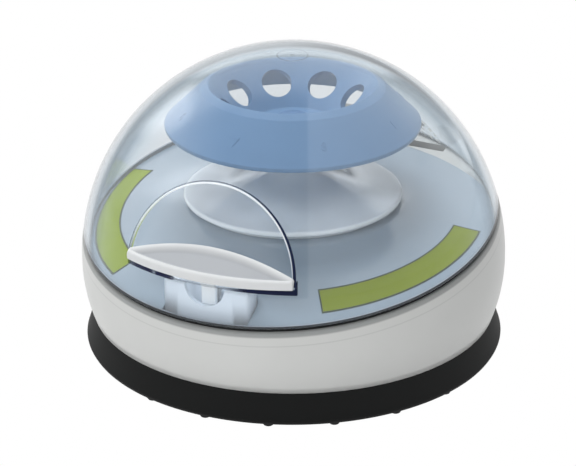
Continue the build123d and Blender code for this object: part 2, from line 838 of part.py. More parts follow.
with BuildPart() as lid:
    with Locations((0, 0, shell_centre_z)):
        Sphere(shell_radius)
    split(bisect_by=seam.offset(seam_lift), keep=Keep.TOP)
    add(front_block(0, sill_top), mode=Mode.SUBTRACT)
    # Hinge eyes each side of the casing's knuckle
    for eye_start in (knuckle_half_width + slide_gap, -knuckle_half_width - slide_gap - eye_width):
        with BuildSketch(Plane.YZ.offset(eye_start)):
            with Locations((hinge_y, hinge_z)):
                Circle(knuckle_radius)
            with BuildLine():
                Polyline(
                    (hinge_y - eye_root, hinge_z - eye_rise / 10),
                    (hinge_y - eye_root, hinge_z + eye_rise),
                    (hinge_y - eye_root / 2, hinge_z + 0.95 * eye_rise),
                    (hinge_y + knuckle_radius * 0.7, hinge_z + knuckle_radius * 0.7),
                    (hinge_y, hinge_z),
                    close=True,
                )
            make_face()
        extrude(amount=eye_width)
    add(lid_hollow.part, mode=Mode.SUBTRACT)
    # Blade that reaches the interlock switch through the slot
    with BuildSketch(Plane.XY.offset(blade_bottom)):
        blade_back = slot_back - slide_gap
        with Locations(((blade_left + blade_right) / 2, blade_back - blade_thickness / 2)):
            Rectangle(blade_right - blade_left, blade_thickness)
    extrude(until=Until.NEXT)
    with Locations((-shell_radius, hinge_y, hinge_z)):
        Cylinder(
            pin_radius + running_gap,
            2 * shell_radius,
            rotation=(0, 90, 0),
            align=(Align.CENTER, Align.CENTER, Align.MIN),
            mode=Mode.SUBTRACT,
        )
write(lid, "lid")


# Hinge pin
with BuildPart() as hinge_pin:
    with BuildSketch(Plane.YZ.offset(-knuckle_half_width - eye_width)):
        with Locations((hinge_y, hinge_z)):
            Circle(pin_radius)
    extrude(amount=2 * (knuckle_half_width + eye_width))
write(hinge_pin, "hinge_pin")


# Finger tab: a dished wedge on the sill, against the window
tab_front = sqrt(shell_radius**2 - (sill_top - shell_centre_z) ** 2) + tab_overhang
tab_root = tab_back_radius - 8
tab_rise = (tab_back_z - sill_top - tab_edge) / (tab_front - tab_back_radius)


def tab_height(radius):
    """Height of the tab's sloping face at a radius from the spin axis."""
    return sill_top + tab_edge + tab_rise * (tab_front - radius)


with BuildPart() as tab_dish_cutter:
    with BuildSketch(Plane.XZ):
        with BuildLine():
            dish_front = tab_front - tab_rim
            Polyline(
                (tab_root, tab_height(tab_root) - tab_dish),
                (dish_front, tab_height(dish_front) - tab_dish),
                (dish_front, tab_height(tab_root)),
                (tab_root, tab_height(tab_root)),
                close=True,
            )
        make_face()
    revolve(axis=Axis.Z)
    add(front_block(-tab_rim, sill_top), mode=Mode.INTERSECT)
    with BuildSketch(Plane.XY.offset(sill_top)):
        Rectangle(2 * (tab_half_width - tab_rim), 4 * shell_radius)
    extrude(amount=shell_radius, mode=Mode.INTERSECT)

with BuildPart() as finger_tab:
    with BuildSketch(Plane.XZ):
        with BuildLine():
            Polyline(
                (tab_root, sill_top),
                (tab_front, sill_top),
                (tab_front, tab_height(tab_front)),
                (tab_root, tab_height(tab_root)),
                close=True,
            )
        make_face()
    revolve(axis=Axis.Z)
    add(front_block(0, sill_top), mode=Mode.INTERSECT)
    with BuildSketch(Plane.XY.offset(sill_top)):
        Rectangle(2 * tab_half_width, 4 * shell_radius)
    extrude(amount=shell_radius, mode=Mode.INTERSECT)
    add(tab_dish_cutter.part, mode=Mode.SUBTRACT)
write(finger_tab, "finger_tab")


# Latch tongue, hanging from the sill
with BuildPart() as latch_tongue:
    with BuildSketch(Plane.XY.offset(tongue_bottom)):
        with Locations((0, tongue_front_y + tongue_thickness / 2)):
            Rectangle(2 * tongue_half_width, tongue_thickness)
    extrude(amount=sill_top - sill_thickness - tongue_bottom)
    chamfer(latch_tongue.edges().group_by(Axis.Z)[0], length=0.5)
write(latch_tongue, "latch_tongue")


# Latch boss: stands through the deck on the casing's lip, with a scoop in front
with BuildPart() as latch_boss:
    with BuildSketch(Plane.XY.offset(ring_top)):
        with Locations((0, boss_back_y - shell_radius / 2)):
            RectangleRounded(2 * boss_half_width, shell_radius, boss_corner)
        Circle(boss_front_radius, mode=Mode.INTERSECT)
    extrude(amount=boss_top - ring_top)
    fillet(latch_boss.edges().group_by(Axis.Z)[-1], radius=boss_round)
    split(bisect_by=seam.offset(-lip_top + lip_gap), keep=Keep.TOP)
    with BuildSketch(Plane.XY.offset(pocket_floor)):
        with Locations((0, (pocket_front_y + pocket_back_y) / 2)):
            RectangleRounded(2 * pocket_half_width, pocket_back_y - pocket_front_y, 1.5)
    extrude(amount=boss_top, mode=Mode.SUBTRACT)
    with BuildSketch(Plane.XZ.offset(-pocket_front_y - 1)):
        with Locations((0, boss_top)):
            Circle(scoop_radius)
    extrude(amount=shell_radius, mode=Mode.SUBTRACT)
write(latch_boss, "latch_boss")


# Leaf spring that grips the tongue from behind
spring_face = tongue_front_y + tongue_thickness + slide_gap
with BuildPart() as latch_spring:
    with BuildSketch(Plane.YZ.offset(-spring_half_width)):
        with BuildLine():
            Polyline(
                (spring_face + spring_bow, pocket_floor),
                (spring_face + spring_foot, pocket_floor),
                (spring_face + spring_foot, pocket_floor + spring_strip),
                (spring_face + spring_bow + spring_strip, pocket_floor + spring_strip),
                (spring_face + spring_strip, spring_top - spring_bend),
                (spring_face + spring_bow + spring_strip, spring_top),
                (spring_face + spring_bow, spring_top),
                (spring_face, spring_top - spring_bend),
                close=True,
            )
        make_face()
    extrude(amount=2 * spring_half_width)
write(latch_spring, "latch_spring")


# Interlock switch on its shelf, with the plunger under the blade
blade_middle = slot_back - slide_gap - blade_thickness / 2
with BuildPart() as lid_switch:
    with BuildSketch(Plane.XY.offset(switch_bottom)):
        with Locations(((switch_left + switch_right) / 2, (switch_front + switch_back) / 2)):
            Rectangle(switch_right - switch_left, switch_back - switch_front)
    extrude(amount=switch_height)
    fillet(lid_switch.edges().filter_by(Axis.Z), radius=0.6)
    with BuildSketch(Plane.XY.offset(switch_bottom + switch_height)):
        with Locations((plunger_x, blade_middle)):
            Circle(plunger_size / 2 + slide_gap / 2)
    extrude(amount=-plunger_depth - slide_gap, mode=Mode.SUBTRACT)
write(lid_switch, "lid_switch")

with BuildPart() as switch_plunger:
    with BuildSketch(Plane.XY.offset(switch_bottom + switch_height - plunger_depth)):
        with Locations((plunger_x, blade_middle)):
            Circle(plunger_size / 2)
    extrude(amount=blade_bottom - slide_gap - switch_bottom - switch_height + plunger_depth)
    fillet(switch_plunger.edges().group_by(Axis.Z)[-1], radius=0.5)
write(switch_plunger, "switch_plunger")


# Rocker switch body, snapped into the back wall
rocker_face = panel_plane(rocker_turn, panel_radius, panel_z)
with BuildPart() as power_switch:
    with BuildSketch(rocker_face):
        RectangleRounded(bezel_width, bezel_height, bezel_corner)
    extrude(amount=bezel_thickness)
    with BuildSketch(rocker_face):
        Rectangle(rocker_body_width, rocker_body_height)
    extrude(amount=-rocker_body_depth)
    with BuildSketch(rocker_face.offset(bezel_thickness)):
        Rectangle(rocker_window_width, rocker_window_height)
    extrude(amount=-bezel_thickness - rocker_cavity, mode=Mode.SUBTRACT)
    pivot = rocker_face.offset(-rocker_pivot_depth).origin
    with Locations(Location((pivot.X, pivot.Y, pivot.Z))):
        Cylinder(rocker_pin + running_gap, rocker_body_height + 2, mode=Mode.SUBTRACT)
write(power_switch, "power_switch")


# Rocker, drawn with its left side pressed
rest_tilt = rocker_turn + rocker_tilt
rocker_plane = Plane(
    origin=(pivot.X, pivot.Y, panel_z),
    x_dir=(cos(radians(rest_tilt)), -sin(radians(rest_tilt)), 0),
    z_dir=(0, 0, 1),
)
with BuildPart() as power_rocker:
    with BuildSketch(rocker_plane.offset(-rocker_height / 2)):
        with BuildLine():
            Polyline(
                (-rocker_length / 2, -rocker_pivot_depth - rocker_skirt),
                (rocker_length / 2, -rocker_pivot_depth - rocker_skirt),
                (rocker_length / 2, rocker_crown),
                (0, rocker_waist),
                (-rocker_length / 2, rocker_crown),
                close=True,
            )
        make_face()
    extrude(amount=rocker_height)
    with Locations(Location((pivot.X, pivot.Y, pivot.Z))):
        Cylinder(rocker_pin, rocker_body_height - 2 * press_gap)
write(power_rocker, "power_rocker")


# Power inlet: barrel socket with its centre pin
inlet_face = panel_plane(inlet_turn, panel_radius, panel_z)
with BuildPart() as power_inlet:
    with BuildSketch(inlet_face):
        Circle(inlet_radius + inlet_collar / 2 - seat_gap)
    extrude(amount=bezel_thickness)
    with BuildSketch(inlet_face):
        Circle(inlet_radius)
    extrude(amount=-inlet_depth / 2)
    with BuildSketch(inlet_face.offset(-inlet_depth / 2)):
        Rectangle(inlet_body_width, inlet_body_height)
    extrude(amount=-inlet_body_depth)
    with BuildSketch(inlet_face.offset(bezel_thickness)):
        Circle(inlet_bore)
        Circle(inlet_pin, mode=Mode.SUBTRACT)
    extrude(amount=-inlet_depth, mode=Mode.SUBTRACT)
write(power_inlet, "power_inlet")


# Circuit board with its parts and screws
board_bottom = plate_top + standoff_height
with BuildPart() as circuit_board:
    with BuildSketch(Plane.XY.offset(board_bottom)):
        with Locations((0, board_y)):
            RectangleRounded(board_width, board_depth, 2)
        with Locations(*board_holes):
            Circle(board_screw_radius + seat_gap, mode=Mode.SUBTRACT)
    extrude(amount=board_thickness)
write(circuit_board, "circuit_board")

board_top = board_bottom + board_thickness
with BuildPart() as board_parts:
    with BuildSketch(Plane.XY.offset(board_top)):
        with Locations(*[(capacitor_x, board_y + half * capacitor_pitch / 2) for half in (-1, 1)]):
            Circle(capacitor_radius)
    extrude(amount=capacitor_height)
    with BuildSketch(Plane.XY.offset(board_top)):
        with Locations((0, board_y)):
            Rectangle(chip_size, chip_size)
    extrude(amount=chip_height)
    with BuildSketch(Plane.XY.offset(board_top)):
        with Locations(*[(socket_x, board_y + half * socket_pitch / 2) for half in (-1, 1)]):
            Rectangle(socket_width, socket_depth)
    extrude(amount=socket_height)
write(board_parts, "board_parts")

with BuildPart() as board_screws:
    with BuildSketch(Plane.XY.offset(board_top)):
        with Locations(*board_holes):
            Circle(2 * board_screw_radius)
    extrude(amount=board_screw_head)
    fillet(board_screws.edges().group_by(Axis.Z)[-1], radius=board_screw_head / 2)
    with BuildSketch(Plane.XY.offset(board_top)):
        with Locations(*board_holes):
            Circle(board_screw_radius - press_gap)
    extrude(amount=-board_thickness - standoff_height + 1)
write(board_screws, "board_screws")
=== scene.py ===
# %% [markdown]
# # Dressing a mini centrifuge
#
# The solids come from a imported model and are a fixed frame. Every piece that
# is made here sits exactly where its solid sits, so nothing has to be fitted
# by eye. This first cell loads that frame and keeps its box for later.

# %% Load the frame
import json
import math

import bmesh
import bpy
from mathutils import Matrix, Vector
from mathutils.bvhtree import BVHTree
from mathutils.geometry import interpolate_bezier


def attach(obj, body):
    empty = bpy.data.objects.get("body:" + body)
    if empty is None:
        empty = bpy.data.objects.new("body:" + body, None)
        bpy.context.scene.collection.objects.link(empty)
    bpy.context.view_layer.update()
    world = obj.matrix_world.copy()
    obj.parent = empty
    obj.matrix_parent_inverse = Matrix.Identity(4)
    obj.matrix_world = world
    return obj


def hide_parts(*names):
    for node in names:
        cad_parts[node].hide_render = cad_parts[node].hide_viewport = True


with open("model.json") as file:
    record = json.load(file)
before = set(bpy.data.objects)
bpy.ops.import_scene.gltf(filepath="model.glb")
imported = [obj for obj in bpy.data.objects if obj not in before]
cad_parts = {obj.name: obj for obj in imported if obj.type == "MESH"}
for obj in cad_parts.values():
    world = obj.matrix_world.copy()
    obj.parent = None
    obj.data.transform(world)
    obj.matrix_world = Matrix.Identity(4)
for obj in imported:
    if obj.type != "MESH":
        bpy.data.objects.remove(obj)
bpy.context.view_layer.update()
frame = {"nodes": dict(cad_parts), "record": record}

MM = 0.001
solids = frame["nodes"]

# %% [markdown]
# ## The camera
#
# The photograph was taken from a little above the lid and about 25 degrees
# to the right of the front. A long lens keeps the drum's sides nearly
# upright. The camera is set by its place, the point it looks at and a very
# small roll, because those three numbers are what a fit to the picture gives.

# %% Camera
EYE = Vector((0.34704, -0.74085, 0.40910))
AIM = Vector((-0.00177, -0.00083, 0.03910))
ROLL = -0.0064
LENS = 156.2

look = (AIM - EYE).normalized()
level = look.cross(Vector((0, 0, 1))).normalized()
rise = level.cross(look)
side = level * math.cos(ROLL) + rise * math.sin(ROLL)
top = rise * math.cos(ROLL) - level * math.sin(ROLL)
turn = Matrix((side, top, -look)).transposed().to_4x4()

camera_data = bpy.data.cameras.new("camera")
camera_data.lens = LENS
camera_data.sensor_width = 36
camera_data.sensor_fit = "HORIZONTAL"
camera_data.clip_end = 20
camera = bpy.data.objects.new("camera", camera_data)
camera.matrix_world = Matrix.Translation(EYE) @ turn
bpy.context.scene.collection.objects.link(camera)
bpy.context.scene.camera = camera
print("camera distance in mm:", round(EYE.length * 1000))

# %% [markdown]
# ## Sizes that several pieces share
#
# The drum and the lid are two parts of one sphere. The seam between them is a plane that slopes down to
# the front. The lid's window is a flat cut that leans back. The seal is painted pale on the side that is
# seen through the lid, and the lid's lower edge is painted dark on the near side.

# %% Shared sizes
SPHERE_LEVEL = 32.1  # mm
SPHERE_CENTRE = Vector((0, 0, SPHERE_LEVEL)) * MM
OUTER = 76.0 * MM
INNER = 73.5 * MM
SEAM_SLOPE = math.radians(8.9)
SEAM_UP = Vector((0, -math.sin(SEAM_SLOPE), math.cos(SEAM_SLOPE)))
SEAM_LEVEL = 48.7 * math.cos(SEAM_SLOPE) * MM
SEAM_MIDDLE = (0, -2.54 * MM, 48.3 * MM)
WINDOW_LEAN = 0.293  # mm back for each mm up
WINDOW_FOOT_Y, WINDOW_FOOT_Z = -66.8, 51.1  # mm
FAR_SIDE = (-0.424, 0.905, 0.0)
print("the seam slopes by", round(math.degrees(SEAM_SLOPE), 1), "degrees")

# %% [markdown]
# ## A small language for node trees
#
# Materials and Geometry Nodes are both graphs of nodes. `Wire` wraps one
# socket, so that sums can be written as sums, and `Graph.node` adds any node
# from its type, its settings and its sockets. Both kinds of tree share them.


# %% Wire and Graph
class Wire:
    """An output socket that can be used in arithmetic."""

    def __init__(self, graph, socket):
        self.graph = graph
        self.socket = socket

    def also(self, name):
        """Another output of the same node."""
        return Wire(self.graph, self.socket.node.outputs[name])

    def math(self, operation, first, second):
        return self.graph.node("ShaderNodeMath", {"operation": operation}, {0: first, 1: second})

    def __add__(self, other):
        return self.math("ADD", self, other)

    __radd__ = __add__

    def __mul__(self, other):
        return self.math("MULTIPLY", self, other)

    __rmul__ = __mul__

    def __sub__(self, other):
        return self.math("SUBTRACT", self, other)

    def __rsub__(self, other):
        return self.math("SUBTRACT", other, self)

    def __truediv__(self, other):
        return self.math("DIVIDE", self, other)

    def root(self):
        return self.math("SQRT", self, 0.0)

    def dot(self, direction):
        """The share of a vector that lies along a direction."""
        settings = {"operation": "DOT_PRODUCT"}
        return self.graph.node("ShaderNodeVectorMath", settings, {0: self, 1: direction}, result="Value")

    def distance(self, point):
        settings = {"operation": "DISTANCE"}
        return self.graph.node("ShaderNodeVectorMath", settings, {0: self, 1: point}, result="Value")

    def ramp(self, start, end):
        """A soft step from 0 to 1 between two values."""
        settings = {"interpolation_type": "SMOOTHSTEP"}
        sockets = {"Value": self, "From Min": start, "From Max": end}
        return self.graph.node("ShaderNodeMapRange", settings, sockets)

    def band(self, start, full, fade, end):
        """A soft step up from 0 to 1, and another one down again."""
        return self.ramp(start, full) * (1.0 - self.ramp(fade, end))

    def above(self, level):
        """1 where the value is over a level, otherwise 0."""
        return self.math("GREATER_THAN", self, level)

    def at_most(self, level):
        return self.math("MINIMUM", self, level)


class Graph:
    """A node tree that grows by one call per node."""

    def __init__(self, tree):
        self.tree = tree

    def node(self, kind, settings=None, sockets=None, result=0):
        made = self.tree.nodes.new(kind)
        for key, value in (settings or {}).items():
            if key == "stops":
                self.set_stops(made.color_ramp, value)
            else:
                setattr(made, key, value)
        for key, value in (sockets or {}).items():
            if isinstance(value, Wire):
                self.tree.links.new(value.socket, made.inputs[key])
            else:
                made.inputs[key].default_value = value
        if len(made.outputs) == 0:
            return made
        return Wire(self, made.outputs[result])

    @staticmethod
    def set_stops(ramp, stops):
        while len(ramp.elements) < len(stops):
            ramp.elements.new(0.5)
        for element, (place, colour) in zip(ramp.elements, stops):
            element.position = place
            element.color = colour

    def tint(self, amount, first, second):
        """A colour between two others."""
        settings = {"data_type": "RGBA"}
        return self.node("ShaderNodeMix", settings, {0: amount, 6: first, 7: second}, result=2)

    def own_place(self):
        """A piece's own coordinates, which move with it."""
        return self.node("ShaderNodeTexCoord", result="Object")

    def stored(self, name):
        """A number that a mesh stores for each of its corners."""
        return self.node("ShaderNodeAttribute", {"attribute_name": name}, result="Fac")

    def stops(self, place, stops):
        """A colour that changes with a value, through (place, colour) stops."""
        return self.node("ShaderNodeValToRGB", {"stops": stops}, {0: place})

    def noise(self, place, scale, detail):
        return self.node("ShaderNodeTexNoise", {}, {"Vector": place, "Scale": scale, "Detail": detail})

    def bump(self, strength, distance, height):
        sockets = {"Strength": strength, "Distance": distance, "Height": height}
        return self.node("ShaderNodeBump", {}, sockets)

    def blend(self, amount, first, second):
        """A shader between two others."""
        return self.node("ShaderNodeMixShader", {}, {0: amount, 1: first, 2: second})

    def principled(self, sockets):
        return self.node("ShaderNodeBsdfPrincipled", {}, sockets)

    def surface(self, shader):
        self.node("ShaderNodeOutputMaterial", {}, {"Surface": shader})


def blank_material(name):
    """A new material with an empty tree, and the graph that fills it."""
    material = bpy.data.materials.new(name)
    material.use_nodes = True
    material.node_tree.nodes.clear()
    return material, Graph(material.node_tree)


def paint(red, green, blue, dim=1.0):
    """A colour read off a screen, 0 to 255, as the linear values that nodes want."""
    values = []
    for channel in (red, green, blue):
        part = channel / 255
        linear = part / 12.92 if part <= 0.04045 else ((part + 0.055) / 1.055) ** 2.4
        values.append(linear * dim)
    return (*values, 1.0)


print("white at 200 of 255 is", round(paint(200, 200, 200)[0], 3), "in linear light")

# %% [markdown]
# ## Moulded plastic
#
# Most of the instrument is injection moulded. A moulding is never one flat
# colour: the pigment drifts from place to place, the gloss varies with the
# cooling of the tool, and the tool's fine grain shows. One function makes
# all of them from a colour, a roughness and what is special about each.


# %% The moulded finish
def moulded(name, colour, gloss, drift=0.05, grain=0.12, grain_size=0.5, coat=0.0, shine=0.5, glow=0.0):
    """A plastic: colour, roughness, share of drift, depth and size of grain in mm, and the strength of a
    painted glow.
    """
    material, graph = blank_material(name)
    place = graph.own_place()
    cloud = graph.noise(place, 38.0, 3.0)
    fine = graph.noise(place, 1 / (grain_size * MM), 2.0)
    darker = (*(channel * (1 - drift) for channel in colour[:3]), 1.0)
    lighter = (*(channel * (1 + drift) for channel in colour[:3]), 1.0)
    sockets = {
        "Base Color": graph.tint(cloud, darker, lighter),
        "Roughness": gloss - 0.05 + cloud * 0.06 + fine * 0.04,
        "Normal": graph.bump(grain, 0.04 * MM, fine),
        "Coat Weight": coat,
        "Coat Roughness": 0.08,
        "Specular IOR Level": shine,
        "Emission Color": colour,
        "Emission Strength": glow,
        "IOR": 1.5,
    }
    graph.surface(graph.principled(sockets))
    return material


def retone(material, amount, colour):
    """Blend a finish towards another colour. `amount` makes the share from the piece's own place."""
    graph = Graph(material.node_tree)
    shader = next(node for node in material.node_tree.nodes if node.type == "BSDF_PRINCIPLED")
    own = Wire(graph, shader.inputs["Base Color"].links[0].from_socket)
    toned = graph.tint(amount(graph.own_place()), own, colour)
    material.node_tree.links.new(toned.socket, shader.inputs["Base Color"])


# The boss and the tongue get a painted glow (glow), so that they look lit from within like translucent
# plastic.
MOULDINGS = {
    "white_plastic": ((192, 193, 191), 0.34, {"shine": 0.28}),
    "black_rubber": ((17, 18, 18), 0.62, {"drift": 0.15, "grain": 0.3, "shine": 0.15}),
    "grey_plastic": ((146, 161, 174), 0.2, {"coat": 1.0}),
    "pale_plastic": ((238, 245, 250), 0.24, {"coat": 1.0}),
    "blue_plastic": ((110, 141, 175), 0.30, {"grain": 0.08}),
    "knob_plastic": ((96, 128, 166), 0.28, {}),
    "boss_plastic": ((222, 232, 243), 0.25, {"grain": 0.05, "coat": 0.3, "glow": 0.08}),
    "black_plastic": ((38, 39, 41), 0.42, {"drift": 0.12}),
    "switch_plastic": ((30, 31, 33), 0.28, {"drift": 0.12}),
    "tongue_plastic": ((236, 239, 241), 0.25, {"glow": 0.12}),
    "tab_white": ((200, 202, 203), 0.3, {}),
    "lid_edge": ((150, 158, 168), 0.25, {}),
    "seal_rubber": ((20, 21, 22), 0.55, {"drift": 0.15, "grain": 0.2, "shine": 0.2}),
    "board": ((24, 92, 52), 0.3, {"drift": 0.2, "grain": 0.2}),
}
finishes = {}
for name, (colour, gloss, rest) in MOULDINGS.items():
    finishes[name] = moulded(name, paint(*colour), gloss, **rest)
print("moulded finishes:", len(finishes))

# %% [markdown]
# ## Metals
#
# The shaft, pin and screws are bright steel, the bushes are sintered bronze,
# the magnets are dark ferrite and the armature is laminated iron. Turned
# metal shows fine rings, so a wave along the height is enough for them.


# %% Metal finishes
def metal(name, colour, roughness, ring_size=0.3, ring_depth=0.1, metallic=1.0):
    """A turned or rolled metal with fine rings at a size in mm."""
    material, graph = blank_material(name)
    place = graph.own_place()
    settings = {"wave_type": "BANDS", "bands_direction": "Z"}
    waves = {"Vector": place, "Scale": 1 / (ring_size * MM * 6.28), "Distortion": 0.6, "Detail": 2.0}
    rings = graph.node("ShaderNodeTexWave", settings, waves, result=1)
    stain = graph.noise(place, 160.0, 4.0)
    darker = (*(channel * 0.8 for channel in colour[:3]), 1.0)
    sockets = {
        "Base Color": graph.tint(stain, darker, colour),
        "Roughness": roughness - 0.06 + stain * 0.12,
        "Metallic": metallic,
        "Normal": graph.bump(ring_depth, 0.03 * MM, rings),
    }
    graph.surface(graph.principled(sockets))
    return material


finishes["steel"] = metal("steel", paint(196, 198, 200), 0.25)
finishes["bronze"] = metal("bronze", paint(176, 132, 84), 0.45, ring_depth=0.2)
finishes["magnet"] = metal("magnet", paint(58, 58, 60), 0.6, metallic=0.3)
finishes["iron"] = metal("iron", paint(120, 118, 116), 0.4, ring_size=0.5, ring_depth=0.4)
print("finishes so far:", sorted(finishes))

# %% [markdown]
# ## Clear plastic
#
# The lid is polished clear plastic. A refracting shader draws its edges and the thick rim of the window.
# Light that only passes through on its way to the inside would need many samples to find its path, so
# shadow and diffuse rays go straight through instead. Towards the outline the wall is seen on edge,
# where it looks grey blue, so its tint follows the angle of view. Part of this is the real tint of the
# long path through the wall. Part is painted shade: dark bands near the outline stand in for the dark
# room that the edge refracts.

# %% The clear finish
CLEAR_IOR = 1.49
# Tint by angle of view, with painted shade in dark bands near the outline.
EDGE_SHADE_STOPS = [
    (0.42, (0.82, 0.845, 0.865, 1)),
    (0.50, (0.76, 0.81, 0.845, 1)),
    (0.565, (0.68, 0.76, 0.82, 1)),
    (0.62, (0.38, 0.47, 0.54, 1)),
    (0.69, (0.10, 0.17, 0.23, 1)),
    (0.75, (0.22, 0.29, 0.35, 1)),
    (0.81, (0.38, 0.45, 0.51, 1)),
    (0.88, (0.29, 0.35, 0.40, 1)),
    (1.0, (0.20, 0.24, 0.29, 1)),
]
finishes["clear_plastic"], graph = blank_material("clear_plastic")
facing = graph.node("ShaderNodeLayerWeight", {}, {"Blend": 0.5}, result="Facing")
sockets = {
    "Base Color": graph.stops(facing, EDGE_SHADE_STOPS),
    "Roughness": 0.005 + graph.noise(graph.own_place(), 60.0, 3.0) * 0.02,
    "IOR": CLEAR_IOR,
    "Transmission Weight": 1.0,
}
path = graph.node("ShaderNodeLightPath", result="Is Shadow Ray")
straight = (path + path.also("Is Diffuse Ray")).at_most(1.0)
window = graph.node("ShaderNodeBsdfTransparent", {}, {"Color": (0.97, 0.98, 0.985, 1.0)})
graph.surface(graph.blend(straight, graph.principled(sockets), window))


def far_share(place):
    """0 on the camera's side of the rim, 1 on the side that is seen through the lid."""
    return place.dot(FAR_SIDE).ramp(2 * MM, 26 * MM)


def edge_shade(place):
    """Where the lid's lower edge gets painted shade: its outer part, on the near side."""
    return place.distance(SEAM_MIDDLE).ramp(72.1 * MM, 72.4 * MM) * (1.0 - far_share(place))


# The lid's lower edge is an opaque grey blue that stands in for how its clear edge looks. Its outer part
# is painted dark on the near side: painted shade.
retone(finishes["lid_edge"], edge_shade, paint(30, 36, 42))
print("clear plastic bends light by", CLEAR_IOR)

# %% [markdown]
# ## Every solid gets its finish
#
# The record names a material slot for each solid. The finish of that slot
# goes on the solid itself, so a piece that is not rebuilt below still has
# its real material.

# %% Finishes on the solids
slot_of = {row["node"]: row["material_slot"] for row in frame["record"]["subparts"]}
for name, solid in solids.items():
    solid.data.materials.clear()
    solid.data.materials.append(finishes[slot_of[name]])
print("slots used:", sorted(set(slot_of.values())))

# %% [markdown]
# ## Two ways to make a piece
#
# `smooth_copy` takes a solid that already has the right shape, merges its loose triangles and shades it
# softly across gentle angles. `lathe` turns an outline about the upright axis, with a rounding at any
# corner. `finish` puts a piece on its body, gives it the finish of its slot when it has no material yet,
# and hides the solids that it stands for.


# %% Helpers that make and place pieces
def finish(piece, body, slot, *stands_for):
    """Give a piece its body, and the finish of its slot if it has no material yet; hide the solids it
    stands for.
    """
    if not piece.data.materials:
        piece.data.materials.append(finishes[slot])
    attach(piece, body)
    if stands_for:
        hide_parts(*stands_for)
    print(f"{piece.name}: {len(piece.data.polygons)} faces on {body}")
    return piece


def from_mesh(name, mesh):
    piece = bpy.data.objects.new(name, mesh)
    bpy.context.scene.collection.objects.link(piece)
    return piece


def soften(mesh, angle):
    """Smooth shading, except over edges sharper than an angle in degrees."""
    mesh.shade_smooth()
    mesh.set_sharp_from_angle(angle=math.radians(angle))


def closed_mesh(work, name):
    """Turn the faces of a closed shape outwards, and keep the shape as a mesh."""
    bmesh.ops.recalc_face_normals(work, faces=work.faces)
    mesh = bpy.data.meshes.new(name)
    work.to_mesh(mesh)
    work.free()
    return mesh


def merged(node):
    """A copy of a solid's triangles with their shared corners joined."""
    mesh = solids[node].data.copy()
    work = bmesh.new()
    work.from_mesh(mesh)
    bmesh.ops.remove_doubles(work, verts=work.verts, dist=2e-6)
    work.to_mesh(mesh)
    work.free()
    return mesh


def smooth_copy(node, name, body, angle=28, coat=None):
    """A solid merged and softened, with its own finish or another."""
    mesh = merged(node)
    if coat:
        mesh.materials.clear()
        mesh.materials.append(coat)
    soften(mesh, angle)
    return finish(from_mesh(name, mesh), body, slot_of[node], node)


def rounded(corners, steps=6):
    """An outline whose corners (radius, height, rounding) are turned into arcs."""
    points = []
    count = len(corners)
    for index, corner in enumerate(corners):
        here = Vector(corner[:2])
        radius = corner[2] if len(corner) > 2 else 0
        if radius == 0:
            points.append(here)
            continue
        back = (Vector(corners[index - 1][:2]) - here).normalized()
        ahead = (Vector(corners[(index + 1) % count][:2]) - here).normalized()
        half = back.angle(ahead) / 2
        reach = radius / math.tan(half)
        middle = here + (back + ahead).normalized() * (radius / math.sin(half))
        start = here + back * reach - middle
        sweep = math.pi - 2 * half
        if start.x * (here - middle).y - start.y * (here - middle).x < 0:
            sweep = -sweep
        for step in range(steps + 1):
            cos, sin = math.cos(sweep * step / steps), math.sin(sweep * step / steps)
            spun = Vector((start.x * cos - start.y * sin, start.x * sin + start.y * cos))
            points.append(middle + spun)
    return points


def lathe(name, corners, steps=256, angle=28):
    """Turn a closed outline, in millimetres, about the upright axis."""
    spins = [math.tau * step / steps for step in range(steps)]
    work = bmesh.new()
    rings = []
    for point in rounded(corners):
        radius, height = point.x * MM, point.y * MM
        places = [(radius * math.cos(spin), radius * math.sin(spin), height) for spin in spins]
        if point.x < 1e-6:
            places = [(0, 0, height)]
        rings.append([work.verts.new(place) for place in places])
    for lower, upper in zip(rings, rings[1:] + rings[:1]):
        if len(lower) == 1 and len(upper) == 1:
            continue
        for step in range(steps):
            ahead = (step + 1) % steps
            corner = [lower[step % len(lower)], lower[ahead % len(lower)]]
            corner += [upper[ahead % len(upper)], upper[step % len(upper)]]
            work.faces.new(list(dict.fromkeys(corner)))
    mesh = closed_mesh(work, name)
    soften(mesh, angle)
    return from_mesh(name, mesh)


# %% [markdown]
# ## The drum
#
# The casing's solid holds the drum's shape with its ledge, its slot and the openings at the back, so it
# is used as it is, merged and softened. The white plastic gets painted shade on its rounded rim. The
# seal fills the joint. It is black rubber. On the far side, where it is seen through the lid, it is
# painted pale: painted light from the lid's veil.


# %% Casing and seal
def rim_shade(place):
    """Shade on the rounded rim, and the fine line that the tool leaves below it."""
    below = SEAM_LEVEL - place.dot(tuple(SEAM_UP))
    outside = place.distance(tuple(SPHERE_CENTRE)).ramp(74.0 * MM, 74.4 * MM)
    rim = 1.0 - below.ramp(2.2 * MM, 3.0 * MM)
    line = below.band(5.4 * MM, 5.7 * MM, 5.8 * MM, 6.1 * MM)
    return (rim * 0.78 + line * 0.22) * outside


retone(finishes["white_plastic"], rim_shade, (0.22, 0.23, 0.23, 1.0))
smooth_copy("casing", "casing_shell", "base")
# Painted light: the black seal turns pale on the side that is seen through the lid.
retone(finishes["seal_rubber"], far_share, paint(168, 176, 182))
smooth_copy("rim_seal", "seal_line", "base", 40, finishes["seal_rubber"])

# %% [markdown]
# ## The foot ring
#
# The soft black ring flares out to a rounded toe. It is turned from its
# outline. Twenty small nubs carry the weight, and what repeats is made with
# Geometry Nodes: one nub, a circle of points, and an instance on each.

# %% The ring
RING_OUTLINE = [
    (72.1, 12.4, 0.35),
    (75.35, 2.8, 1.3),
    (74.6, 1.5, 0.4),
    (66.0, 1.5, 0.4),
    (66.0, 4.5),
    (69.4, 4.5),
    (69.4, 12.4, 0.3),
]
finish(lathe("foot_ring_band", RING_OUTLINE, 288), "base", "black_rubber", "foot_ring")


